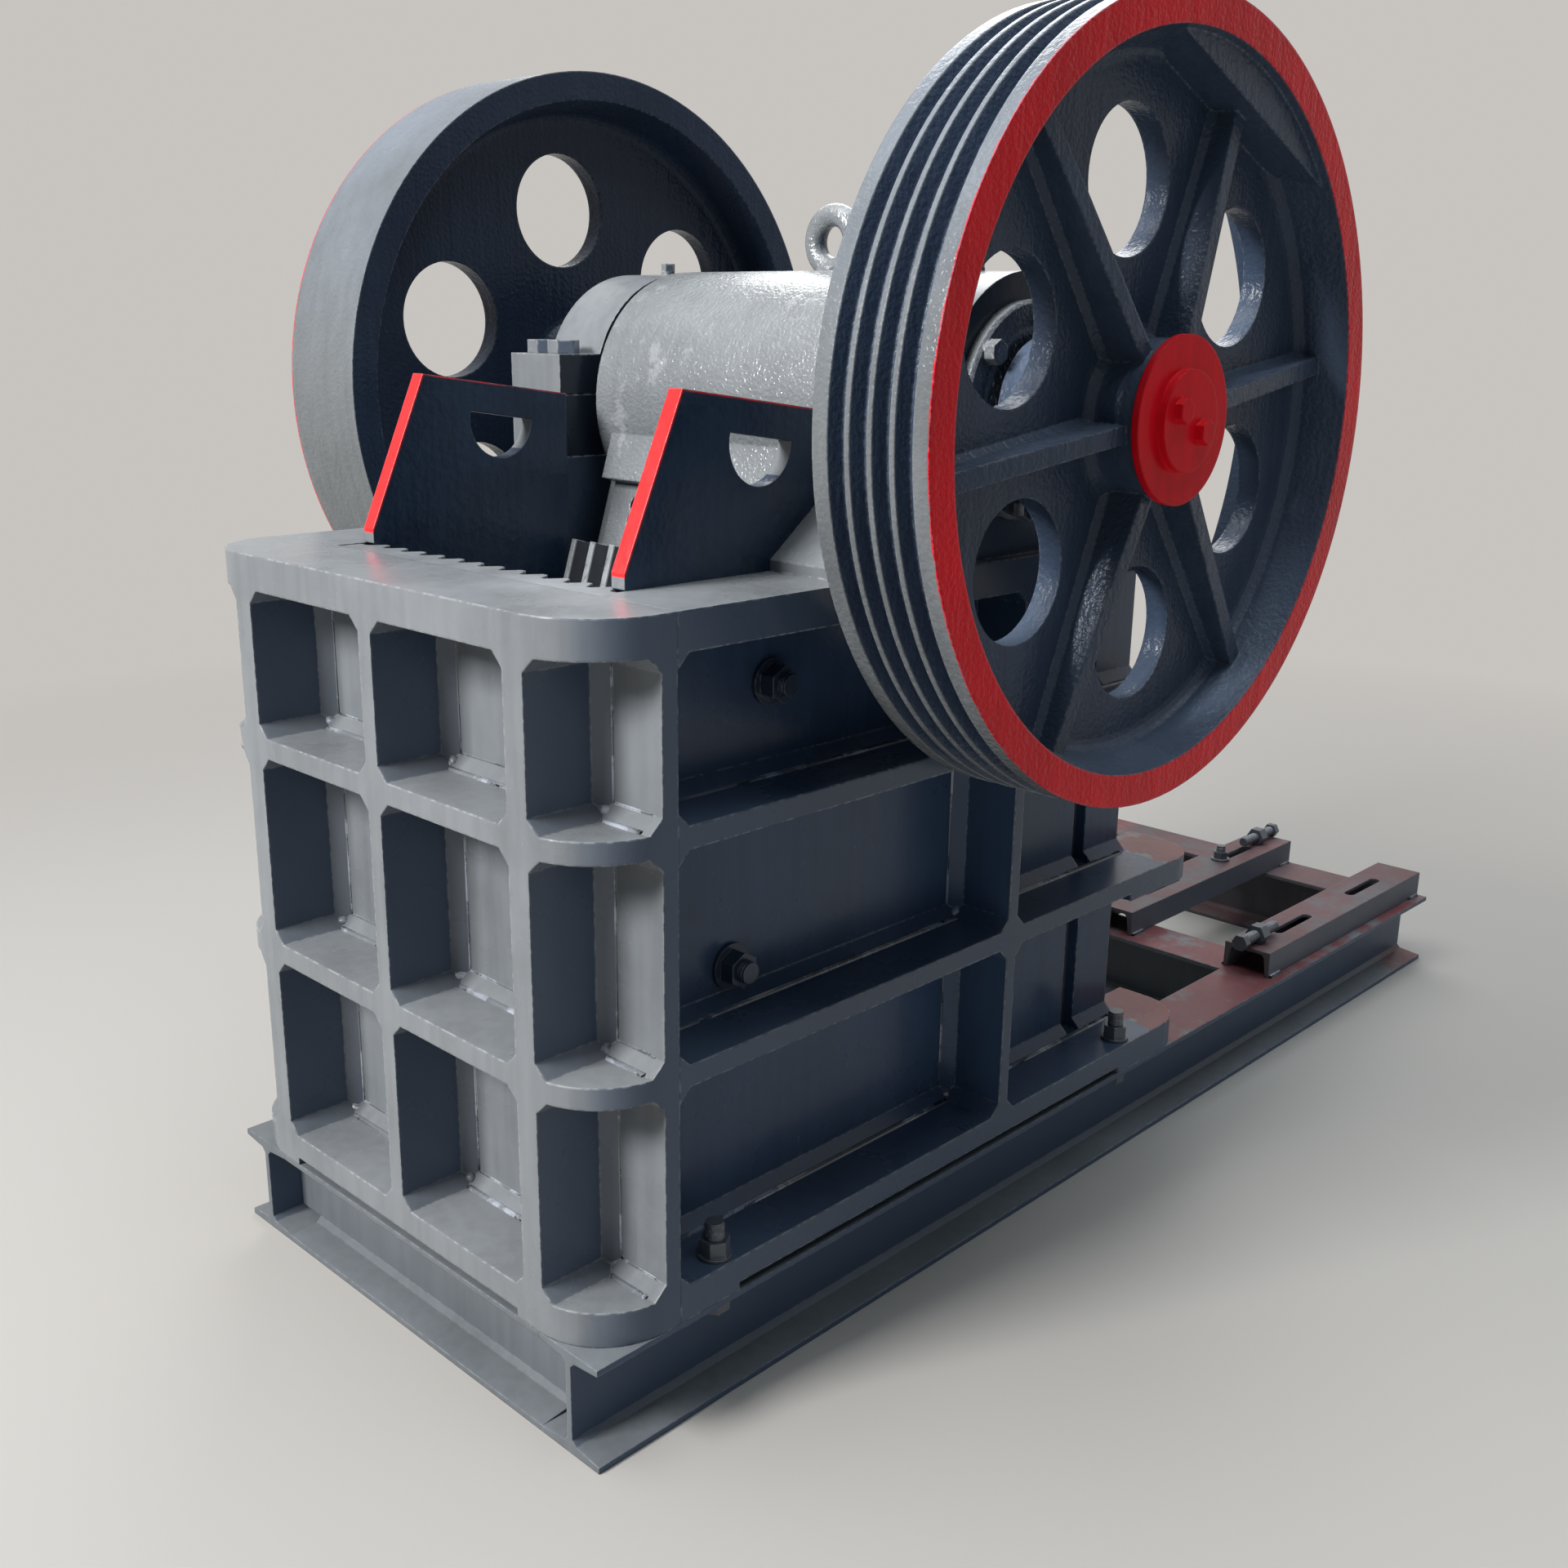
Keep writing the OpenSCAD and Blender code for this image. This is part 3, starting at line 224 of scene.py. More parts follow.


# Dust on upward faces, which on the wheels is a bluish painted reflection of the sky, and chips along
# edges, laid over a colour
def makeDustSheenGroup():
    inputs = {"Colour": black, "Dust And Sheen Colour": black, "Chip Colour": black, "Dust And Sheen": 0.1, "Chips": 0.5,
              "Edge": 0.0, "Top": 0.0, "Patch": 0.5, "Speck": 0.5}
    tree, given, result = newGroup("dustSheenAndChips", inputs, {"Colour": "Color"})
    held = mathNode(tree, (-900, -200), "MULTIPLY", given["Top"], given["Patch"])
    held = mathNode(tree, (-700, -200), "MULTIPLY", held, 2.0)
    held = mathNode(tree, (-500, -200), "MULTIPLY", held, given["Dust And Sheen"], True)
    dustedAndSheened = mixColour(tree, (-250, 100), held, given["Colour"], given["Dust And Sheen Colour"])
    broken = rangeNode(tree, (-900, -450), given["Speck"], *effects["chipRange"])
    chips = mathNode(tree, (-600, -450), "MULTIPLY", given["Edge"], broken)
    chips = mathNode(tree, (-400, -450), "MULTIPLY", chips, given["Chips"], True)
    join(tree, mixColour(tree, (100, 0), chips, dustedAndSheened, given["Chip Colour"]), result["Colour"])
    return tree


# Roughness that follows the patches, and the height of cast grain under brushed paint
def makeGrainGroup():
    inputs = {"Smooth": 0.2, "Rough": 0.4, "Patch": 0.5, "Speck": 0.5, "Streak": 0.5, "Brush": 1.0}
    tree, given, result = newGroup("glossAndGrain", inputs, {"Roughness": "Float", "Height": "Float"})
    rough = rangeNode(tree, (-500, 200), given["Patch"], *effects["glossRange"], given["Smooth"],
                      given["Rough"])
    join(tree, rough, result["Roughness"])
    brushed = mathNode(tree, (-700, -200), "MULTIPLY", given["Streak"], given["Brush"])
    join(tree, mathNode(tree, (-500, -100), "ADD", given["Speck"], brushed), result["Height"])
    return tree


# True inside a box, with a slightly wavy border
def makeZoneGroup():
    inputs = {"Low": nowhere, "High": nowhere, "Waver": 0.002}
    tree, given, result = newGroup("insideBox", inputs, {"Inside": "Float"})
    place = addNode(tree, "ShaderNodeTexCoord", (-1300, 300)).outputs["Object"]
    wobble = noiseNode(tree, (-1100, 100), place, effects["waverScale"], 2.0)
    wobble = mathNode(tree, (-900, 100), "SUBTRACT", wobble, 0.5)
    wobble = mathNode(tree, (-700, 100), "MULTIPLY", wobble, given["Waver"])
    moved = vectorNode(tree, (-500, 250), "ADD", place, wobble)
    above = vectorNode(tree, (-300, 300), "SUBTRACT", moved, given["Low"])
    below = vectorNode(tree, (-300, 100), "SUBTRACT", given["High"], moved)
    nearest = vectorNode(tree, (-100, 200), "MINIMUM", above, below)
    parts = addNode(tree, "ShaderNodeSeparateXYZ", (100, 200))
    join(tree, nearest, parts.inputs[0])
    least = mathNode(tree, (300, 200), "MINIMUM", parts.outputs["X"], parts.outputs["Y"])
    least = mathNode(tree, (450, 200), "MINIMUM", least, parts.outputs["Z"])
    join(tree, mathNode(tree, (650, 200), "MULTIPLY", least, effects["zoneSharp"], True),
         result["Inside"])
    return tree


# True from about two millimetres before a plane onwards
def makePlaneGroup():
    tree, given, result = newGroup("beyondPlane", {"Normal": nowhere, "Offset": 0.0}, {"Beyond": "Float"})
    place = addNode(tree, "ShaderNodeTexCoord", (-1300, 300)).outputs["Object"]
    along = vectorNode(tree, (-900, 200), "DOT_PRODUCT", place, given["Normal"], "Value")
    depth = mathNode(tree, (-600, 200), "SUBTRACT", along, given["Offset"])
    depth = mathNode(tree, (-400, 200), "ADD", depth, effects["planeLead"])
    join(tree, mathNode(tree, (-200, 200), "MULTIPLY", depth, effects["planeSharp"], True),
         result["Beyond"])
    return tree


# The tread of a wheel, and the painted ring on the rim's outer face
def makeRimGroup(zoneGroup):
    inputs = {"Centre": nowhere, "Tread Radius": 0.4, "Ring Radius": 0.3, "Ring Low": nowhere,
              "Ring High": nowhere, "Waver": 0.002}
    tree, given, result = newGroup("wheelRim", inputs, {"Tread": "Float", "Ring": "Float"})
    place = addNode(tree, "ShaderNodeTexCoord", (-1300, 300)).outputs["Object"]
    centred = vectorNode(tree, (-1100, 300), "SUBTRACT", place, given["Centre"])
    centred = vectorNode(tree, (-900, 300), "MULTIPLY", centred, (0.0, 1.0, 1.0))
    radius = vectorNode(tree, (-700, 300), "LENGTH", centred, output="Value")
    masks = []
    for label in ("Tread Radius", "Ring Radius"):
        outside = mathNode(tree, (-500, 200), "SUBTRACT", radius, given[label])
        masks.append(mathNode(tree, (-300, 200), "MULTIPLY", outside, effects["rimSharp"], True))
    join(tree, masks[0], result["Tread"])
    limits = {"Low": given["Ring Low"], "High": given["Ring High"], "Waver": given["Waver"]}
    face = useGroup(tree, (-500, -200), zoneGroup, limits)
    join(tree, mathNode(tree, (0, 0), "MULTIPLY", face["Inside"], masks[1]), result["Ring"])
    return tree


# Torn patches of primer on the upward faces inside a box
def makePrimerGroup(zoneGroup):
    inputs = {"Low": nowhere, "High": nowhere, "Amount": 1.0, "Spread": 0.0, "Top": 0.0, "Blotch": 0.5}
    tree, given, result = newGroup("tornTops", inputs, {"Shown": "Float"})
    limits = {"Low": given["Low"], "High": given["High"], "Waver": effects["tornWaver"]}
    inside = useGroup(tree, (-900, 200), zoneGroup, limits)
    shown = mathNode(tree, (-600, 200), "MULTIPLY", inside["Inside"], given["Top"])
    spread = mathNode(tree, (-800, -100), "ADD", given["Blotch"], given["Spread"])
    torn = rangeNode(tree, (-600, -100), spread, *effects["tornRange"])
    shown = mathNode(tree, (-300, 100), "MULTIPLY", shown, torn)
    join(tree, mathNode(tree, (0, 100), "MULTIPLY", shown, given["Amount"], True), result["Shown"])
    return tree


# Rubbed lands of the jaw plates: beyond the plane through the tooth tips, dulled by specks
def makeLandGroup(planeGroup):
    inputs = {"Normal": nowhere, "Offset": 0.0, "Speck": 0.5}
    tree, given, result = newGroup("toothLands", inputs, {"Land": "Float"})
    plane = useGroup(tree, (-900, 200), planeGroup, {"Normal": given["Normal"], "Offset": given["Offset"]})
    rubbed = rangeNode(tree, (-600, -100), given["Speck"], *effects["rubbedRange"],
                       effects["rubbedLeast"])
    join(tree, mathNode(tree, (-300, 100), "MULTIPLY", plane["Beyond"], rubbed), result["Land"])
    return tree


# How far a face looks sideways, along the shaft; it places the painted shade of the sideways faces
def makeSidewaysGroup():
    tree, given, result = newGroup("sidewaysFaces", {"From": 0.4, "To": 0.95}, {"Sideways": "Float"})
    geometry = addNode(tree, "ShaderNodeNewGeometry", (-1300, 300))
    parts = addNode(tree, "ShaderNodeSeparateXYZ", (-1100, 300))
    join(tree, geometry.outputs["Normal"], parts.inputs[0])
    along = mathNode(tree, (-900, 300), "ABSOLUTE", parts.outputs["X"])
    join(tree, rangeNode(tree, (-700, 300), along, given["From"], given["To"]), result["Sideways"])
    return tree


groups = {"wear": makeWearGroup(), "patches": makePatchGroup(), "patchy": makePatchyGroup(),
          "spots": makeSpotGroup(), "dustAndSheen": makeDustSheenGroup(), "grain": makeGrainGroup(),
          "zone": makeZoneGroup(), "plane": makePlaneGroup(), "sideways": makeSidewaysGroup()}
groups["rim"] = makeRimGroup(groups["zone"])
groups["primer"] = makePrimerGroup(groups["zone"])
groups["land"] = makeLandGroup(groups["plane"])
print("node groups made:", len(groups))

# Each finish: colours of the paint, its chips and dust (on the wheels a bluish painted reflection of the
# sky), lowest and highest roughness, strength, scale and depth of the grain, wear of edges, dust on tops,
# gloss, radius of the worn edges and how much it differs from patch to patch. Some have their own colour
# on faces that look
# sideways: painted shade, which on the primer is lighter, as painted light
finishes = {
    # Grey paint; its pale chips along the edges are partly worn paint and partly painted edge highlights
    "greyPaint": {
        "colour": (0.180, 0.193, 0.205), "chip": (0.40, 0.42, 0.43), "dustAndSheen": (0.40, 0.40, 0.39),
        "rough": (0.22, 0.38), "grain": 0.14, "grainScale": 110, "edge": 0.62, "dustAndSheenAmount": 0.07,
        "coat": 0.08, "shine": 0.30, "radius": 0.0035, "patch": 0.16,
        "side": (0.064, 0.089, 0.134),
    },
    "skidGrey": {
        "colour": (0.127, 0.142, 0.155), "chip": (0.30, 0.32, 0.33), "dustAndSheen": (0.38, 0.37, 0.36),
        "rough": (0.28, 0.46), "grain": 0.12, "grainScale": 90, "edge": 0.45, "dustAndSheenAmount": 0.06,
        "coat": 0.04, "shine": 0.20, "radius": 0.0025, "patch": 0.12,
        "side": (0.067, 0.096, 0.150),
    },
    "roughPaint": {
        "colour": (0.186, 0.200, 0.210), "chip": (0.36, 0.38, 0.39), "dustAndSheen": (0.40, 0.40, 0.39),
        "rough": (0.13, 0.27), "grain": 0.66, "grainScale": 210, "edge": 0.45, "dustAndSheenAmount": 0.10,
        "coat": 0.18, "shine": 0.66, "radius": 0.0045, "patch": 0.14, "depth": 0.0026,
        "worn": (0.245, 0.258, 0.266), "side": (0.036, 0.051, 0.078), "brush": 0.30,
    },
    # Dark wheel paint; the bluish colour it lays on upward faces is a painted reflection of the sky
    "wheelPaint": {
        "colour": (0.045, 0.065, 0.104), "chip": (0.24, 0.27, 0.31), "dustAndSheen": (0.16, 0.20, 0.27),
        "rough": (0.17, 0.31), "grain": 0.80, "grainScale": 180, "edge": 0.45, "dustAndSheenAmount": 0.36,
        "coat": 0.03, "shine": 0.15, "radius": 0.004, "patch": 0.16, "depth": 0.0016,
    },
    # Near-black colour of the cheek plates: painted shade
    "cheekPaintedShade": {
        "colour": (0.017, 0.036, 0.071), "chip": (0.16, 0.17, 0.19), "dustAndSheen": (0.16, 0.17, 0.18),
        "rough": (0.22, 0.45), "grain": 0.62, "grainScale": 75, "edge": 0.40, "dustAndSheenAmount": 0.04,
        "coat": 0.08, "shine": 0.34, "radius": 0.003, "patch": 0.28, "depth": 0.0019,
        "brush": 0.45,
    },
    "redPaint": {
        "colour": (0.72, 0.006, 0.016), "chip": (0.20, 0.03, 0.03), "dustAndSheen": (0.6, 0.2, 0.18),
        "rough": (0.24, 0.42), "grain": 0.16, "grainScale": 120, "edge": 0.30, "dustAndSheenAmount": 0.04,
        "coat": 0.02, "shine": 0.08, "radius": 0.003, "patch": 0.12,
    },
    "primer": {
        "colour": (0.103, 0.095, 0.103), "chip": (0.26, 0.22, 0.21), "dustAndSheen": (0.32, 0.29, 0.28),
        "rough": (0.36, 0.58), "grain": 0.25, "grainScale": 130, "edge": 0.4, "dustAndSheenAmount": 0.05,
        "shine": 0.16, "radius": 0.003, "patch": 0.30,
        "side": (0.118, 0.128, 0.150),
    },
    "boltSteel": {
        "colour": (0.088, 0.100, 0.118), "chip": (0.34, 0.35, 0.36), "dustAndSheen": (0.17, 0.175, 0.18),
        "rough": (0.26, 0.44), "grain": 0.12, "grainScale": 220, "edge": 0.7, "dustAndSheenAmount": 0.08,
        "metal": 0.15, "radius": 0.0014, "patch": 0.22,
    },
    "groundSteel": {
        "colour": (0.36, 0.35, 0.34), "chip": (0.5, 0.5, 0.5), "dustAndSheen": (0.2, 0.15, 0.1),
        "rough": (0.2, 0.4), "grain": 0.05, "grainScale": 200, "edge": 0.3, "dustAndSheenAmount": 0.05,
        "metal": 0.9, "radius": 0.0015, "patch": 0.2,
    },
    "castIron": {
        "colour": (0.095, 0.090, 0.086), "chip": (0.2, 0.19, 0.18), "dustAndSheen": (0.2, 0.14, 0.09),
        "rough": (0.5, 0.75), "grain": 0.5, "grainScale": 160, "edge": 0.4, "dustAndSheenAmount": 0.2,
        "metal": 0.3, "radius": 0.003, "patch": 0.35,
    },
    "jawPlateSteel": {
        "colour": (0.022, 0.025, 0.031), "chip": (0.40, 0.40, 0.40), "dustAndSheen": (0.1, 0.1, 0.1),
        "rough": (0.34, 0.55), "grain": 0.45, "grainScale": 100, "edge": 0.9, "dustAndSheenAmount": 0.03,
        "metal": 0.1, "shine": 0.4, "radius": 0.0022, "patch": 0.3,
    },
    # Paint over the weld beads, with painted glints in bright spots
    "weldPaintWithPaintedGlint": {
        "colour": (0.178, 0.194, 0.211), "chip": (0.40, 0.42, 0.43), "dustAndSheen": (0.40, 0.40, 0.39),
        "rough": (0.16, 0.30), "grain": 0.50, "grainScale": 160, "edge": 0.20, "dustAndSheenAmount": 0.05,
        "coat": 0.30, "shine": 0.45, "radius": 0.001, "patch": 0.10,
        "side": (0.090, 0.110, 0.143), "paintedGlint": (0.40, 0.43, 0.48),
    },
}
# Grey paint of the bearing blocks with near-black painted shade on the faces that look sideways
finishes["bearingPaintWithPaintedShade"] = {**finishes["greyPaint"], "side": (0.019, 0.028, 0.045)}
# The flywheel's paint, darker all over than the drive wheel's: painted shade
finishes["wheelPaintWithPaintedShade"] = {**finishes["wheelPaint"], "colour": (0.027, 0.042, 0.072)}
# Dark navy bolts and nuts on the cheek plates, as dark as the painted shade of the bays around them
finishes["navyBolt"] = {**finishes["boltSteel"], "colour": (0.034, 0.050, 0.082),
                           "chip": (0.20, 0.23, 0.28), "dustAndSheen": (0.10, 0.13, 0.18)}
# Paler weld beads for the motor rails, with the same painted glints
finishes["paleRailWeldWithPaintedGlint"] = {**finishes["weldPaintWithPaintedGlint"], "colour": (0.30, 0.32, 0.35), "side": (0.26, 0.29, 0.34)}

# What a finish has where it says nothing else
plainFinish = {"metal": 0.0, "coat": 0.0, "coatRough": 0.18, "shine": 0.5, "depth": 0.0012, "brush": 1.0}


# The colour of a paint with its own patches and streaks
def patchyPaint(tree, place, colour, values, patches):
    given = {"Colour": opaque(colour), "Amount": values["patch"], "Patch": patches["Patch"],
             "Streak": patches["Streak"]}
    return useGroup(tree, place, groups["patchy"], given)["Colour"]


# A paint with spots of another colour
def spotted(tree, place, base, colour, limits, patches):
    given = {"Colour": base, "Spot Colour": opaque(colour), "Blotch": patches["Blotch"],
             "From": limits[0], "To": limits[1]}
    return useGroup(tree, place, groups["spots"], given)["Colour"]


# One finish as a material, zones of other paint and of painted shade are laid over the base colour
def makeFinish(name, given):
    values = {**plainFinish, **given}
    material = bpy.data.materials.new(name)
    material.use_nodes = True
    tree = material.node_tree
    shader = tree.nodes["Principled BSDF"]
    wear = useGroup(tree, (-1500, -100), groups["wear"], {"Radius": values["radius"]})
    patches = useGroup(tree, (-1500, 250), groups["patches"], {"Speck Scale": values["grainScale"]})
    base = patchyPaint(tree, (-1200, 300), values["colour"], values, patches)
    if "worn" in values:  # pale, half rubbed patches on rough castings
        base = spotted(tree, (-1000, 500), base, values["worn"], effects["wornRange"], patches)
    if "side" in values:  # painted shade: another, darker colour on the faces that look sideways (on the primer a lighter one, painted light)
        limits = dict(zip(("From", "To"), effects["sideRange"]))
        turned = useGroup(tree, (-900, 650), groups["sideways"], limits)["Sideways"]
        base = mixColour(tree, (-700, 550), turned, base, opaque(values["side"]))
    for makeMask, colour in values.get("zones", []):
        painted = patchyPaint(tree, (-900, 900), colour, values, patches)
        base = mixColour(tree, (-600, 400), makeMask(tree, wear, patches), base, painted)
    # Painted glints: bright spots laid on the weld beads where highlights would be
    if "paintedGlint" in values:  # bright spots on weld metal
        base = spotted(tree, (-500, 600), base, values["paintedGlint"], effects["paintedGlintRange"], patches)
    aged = useGroup(tree, (-400, 200), groups["dustAndSheen"], {
        "Colour": base, "Dust And Sheen Colour": opaque(values["dustAndSheen"]), "Chip Colour": opaque(values["chip"]),
        "Dust And Sheen": values["dustAndSheenAmount"], "Chips": values["edge"], "Edge": wear["Edge"],
        "Top": wear["Top"], "Patch": patches["Patch"], "Speck": patches["Speck"]})
    join(tree, aged["Colour"], shader.inputs["Base Color"])
    grain = useGroup(tree, (-700, -350), groups["grain"], {
        "Smooth": values["rough"][0], "Rough": values["rough"][1], "Patch": patches["Patch"],
        "Speck": patches["Speck"], "Streak": patches["Streak"], "Brush": values["brush"]})
    join(tree, grain["Roughness"], shader.inputs["Roughness"])
    bump = addNode(tree, "ShaderNodeBump", (-300, -450))
    bump.inputs["Strength"].default_value = values["grain"]
    bump.inputs["Distance"].default_value = values["depth"]
    join(tree, grain["Height"], bump.inputs["Height"])
    join(tree, wear["Rounded"], bump.inputs["Normal"])
    join(tree, bump.outputs["Normal"], shader.inputs["Normal"])
    shader.inputs["Metallic"].default_value = values["metal"]
    shader.inputs["Coat Weight"].default_value = values["coat"]
    shader.inputs["Coat Roughness"].default_value = values["coatRough"]
    shader.inputs["Specular IOR Level"].default_value = values["shine"]
    return material


# Each mask below is a function that places its nodes in the material it is built for
# Painted shade in the bays of a side wall, side is 1 or -1
def paintedBayShadeMask(side):
    def build(tree, wear, patches):
        near, far = sorted((side * paintedBayShade["from"], side * paintedBayShade["to"]))
        limits = {"Low": (near, -beyond, paintedBayShade["low"]), "High": (far, paintedBayShade["end"], paintedBayShade["high"]),
                  "Waver": paintedBayShade["waver"]}
        return useGroup(tree, (-900, 700), groups["zone"], limits)["Inside"]
    return build


def planeMask(normal, offset):
    def build(tree, wear, patches):
        return useGroup(tree, (-900, 900), groups["plane"], {"Normal": normal, "Offset": offset})["Beyond"]
    return build


# "Tread" or "Ring" of a wheel, side is 1 or -1
def rimMask(part, side):
    def build(tree, wear, patches):
        face = wheels["ringFrom"]
        low = (face if side > 0 else -beyond, -beyond, -beyond)
        high = (beyond if side > 0 else -face, beyond, beyond)
        return useGroup(tree, (-900, 900), groups["rim"], {
            "Centre": (0.0, wheels["shaftY"], wheels["shaftZ"]), "Tread Radius": wheels["treadRadius"],
            "Ring Radius": wheels["ringRadius"], "Ring Low": low, "Ring High": high,
            "Waver": wheels["waver"]})[part]
    return build


# Orange on the sloping front edge and thinly on the top edge of a cheek plate
def cheekEdgeMask(tree, wear, patches):
    front = planeMask(cheeks["slopeNormal"], cheeks["slopeOffset"])(tree, wear, patches)
    top = planeMask(cheeks["topNormal"], cheeks["topOffset"])(tree, wear, patches)
    thin = rangeNode(tree, (-700, 800), patches["Blotch"], *effects["thinRange"])
    thin = mathNode(tree, (-600, 800), "MULTIPLY", top, thin)
    return mathNode(tree, (-500, 900), "MAXIMUM", front, thin)


# Grey foot below the orange edge: what faces straight to the front
def cheekFootMask(tree, wear, patches):
    geometry = addNode(tree, "ShaderNodeNewGeometry", (-1300, 1200))
    parts = addNode(tree, "ShaderNodeSeparateXYZ", (-1150, 1200))
    join(tree, geometry.outputs["True Normal"], parts.inputs[0])
    return mathNode(tree, (-1000, 1200), "LESS_THAN", parts.outputs["Y"], cheeks["footFacing"])


# Primer that shows through on upward faces behind a given Y and above a given height
def primerMask(startY, amount, above=-beyond, spread=0.0):
    def build(tree, wear, patches):
        return useGroup(tree, (-900, 900), groups["primer"], {
            "Low": (-beyond, startY, above), "High": (beyond, beyond, skid["primerBelow"]),
            "Amount": amount, "Spread": spread, "Top": wear["Top"], "Blotch": patches["Blotch"]})["Shown"]
    return build


def landMask(normal, offset):
    def build(tree, wear, patches):
        given = {"Normal": normal, "Offset": offset, "Speck": patches["Speck"]}
        return useGroup(tree, (-900, 900), groups["land"], given)["Land"]
    return build


wheels = {"shaftY": -0.333, "shaftZ": 1.038, "ringFrom": 0.5352, "ringRadius": 0.3786,
          "treadRadius": 0.4137, "waver": 0.0035, "tread": (0.142, 0.151, 0.157),
          "flywheelTread": (0.130, 0.139, 0.144)}
cheeks = {"slopeNormal": (0.0, -0.9134, 0.4071), "slopeOffset": 1.1299,
          "topNormal": (0.0, 0.1269, 0.9919), "topOffset": 0.9628,
          "footFacing": -0.6, "orange": (0.84, 0.018, 0.020)}
skid = {"primerBelow": 0.45, "primerColour": (0.140, 0.026, 0.031), "railColour": (0.125, 0.055, 0.059),
        "tabColour": (0.152, 0.017, 0.023), "flangeZ": 0.10, "tabFrom": 0.045, "railFrom": 0.12,
        "flangeFrom": 0.10, "endFrom": 0.88}
jawPlates = {"nip": math.atan((0.256 - 0.045) / 0.657), "tipFrontY": -0.827, "seatZ": 0.190,
             "discharge": 0.045, "fixedTopZ": 0.875, "land": (0.215, 0.228, 0.236)}
# Dark colour of the side bays: painted shade; the bead colour, for the welds there, is painted shade
# lightened as painted glints
paintedBayShade = {"colour": (0.043, 0.077, 0.142), "bead": (0.120, 0.145, 0.190),
        "end": 0.0425, "from": 0.250, "to": 0.3505, "low": 0.130, "high": 0.872, "waver": 0.002}
red = finishes["redPaint"]["colour"]
grey = finishes["greyPaint"]["colour"]
movableNormal = (0.0, -math.cos(jawPlates["nip"]), math.sin(jawPlates["nip"]))
movableTip = (jawPlates["tipFrontY"] + jawPlates["discharge"]) * movableNormal[1]
movableTip += jawPlates["seatZ"] * movableNormal[2]

# Finishes made of a base finish and zones, each a mask and the colour laid there: paint, and in the side
# bays painted shade
zonedFinishes = {
    "driveWheelPaint": ("wheelPaint", [(rimMask("Tread", 1), wheels["tread"]), (rimMask("Ring", 1), red)]),
    # The flywheel: wheel paint darkened as painted shade, with its tread and red ring
    "flywheelPaintWithPaintedShade": ("wheelPaintWithPaintedShade", [(rimMask("Tread", -1), wheels["flywheelTread"]),
                                           (rimMask("Ring", -1), red)]),
    # Cheek plates: painted shade all over, grey paint on the faces that look to the front, orange on the
    # edges
    "cheekPaintWithPaintedShade": ("cheekPaintedShade", [(cheekFootMask, grey), (cheekEdgeMask, cheeks["orange"])]),
    # Side walls: grey paint, painted shade in the bays, primer on the rear tabs
    "frameSidePaintWithPaintedShade": ("greyPaint", [(paintedBayShadeMask(1), paintedBayShade["colour"]), (paintedBayShadeMask(-1), paintedBayShade["colour"]),
                                     (primerMask(skid["tabFrom"], 1.0, spread=0.13), skid["tabColour"])]),
    # Weld beads in the side bays: painted shade, lightened as painted glints
    "sideWeldPaintedShadeAndGlint": ("weldPaintWithPaintedGlint", [(paintedBayShadeMask(1), paintedBayShade["bead"]), (paintedBayShadeMask(-1), paintedBayShade["bead"])]),
    "railPaint": ("primer", [(primerMask(skid["railFrom"], 0.75), skid["railColour"])]),
    "skidPaint": ("skidGrey", [(primerMask(skid["flangeFrom"], 0.9, skid["flangeZ"], 0.04),
                                skid["primerColour"]),
                               (primerMask(skid["endFrom"], 0.8), skid["primerColour"])]),
    "fixedPlateSteel": ("jawPlateSteel", [(landMask((0.0, 1.0, 0.0), jawPlates["tipFrontY"]), grey),
                                          (planeMask((0.0, 0.0, 1.0), jawPlates["fixedTopZ"]), grey)]),
    "movablePlateSteel": ("jawPlateSteel", [(landMask(movableNormal, movableTip), jawPlates["land"])]),
}

materials = {}
for finishName, finishValues in finishes.items():
    materials[finishName] = makeFinish(finishName, finishValues)
for finishName, (baseName, zones) in zonedFinishes.items():
    materials[finishName] = makeFinish(finishName, {**finishes[baseName], "zones": zones})
print("finishes made:", len(materials))

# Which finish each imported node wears
nodeFinish = {
    "skidGrey": ["skid_cross_front"],
    "greyPaint": ["frame_front", "bearing_bolts"],
    "bearingPaintWithPaintedShade": ["bearing_base_left", "bearing_base_right", "bearing_cap_left",
                     "bearing_cap_right"],
    "frameSidePaintWithPaintedShade": ["frame_side_left", "frame_side_right", "frame_rear"],
    "skidPaint": ["skid_beam_left", "skid_beam_right", "skid_cross_middle"],
    "roughPaint": ["bearing_cover_left", "bearing_cover_right", "swing_jaw", "lifting_eye"],
    "driveWheelPaint": ["pulley_wheel"],
    "flywheelPaintWithPaintedShade": ["flywheel"],
    "cheekPaintWithPaintedShade": ["cheek_plate_left", "cheek_plate_right"],
    "fixedPlateSteel": ["fixed_jaw_plate"],
    "movablePlateSteel": ["movable_jaw_plate"],
    "redPaint": ["hub_disc_pulley", "hub_disc_flywheel"],
    "railPaint": ["skid_cross_rear", "motor_rail_inner", "motor_rail_outer"],
    "boltSteel": ["rail_adjusting_bolts", "rail_clamp_bolt", "hold_down_bolts", "tension_spring",
                  "tension_rod", "rod_nut", "adjusting_shims"],
    "navyBolt": ["cheek_bolts"],
    "groundSteel": ["eccentric_shaft", "main_bearings"],
    "castIron": ["toggle_block", "toggle_plate", "toggle_seat"],
}
for finishName, names in nodeFinish.items():
    for name in names:
        node = nodes[name]
        node.data.materials.clear()
        node.data.materials.append(materials[finishName])

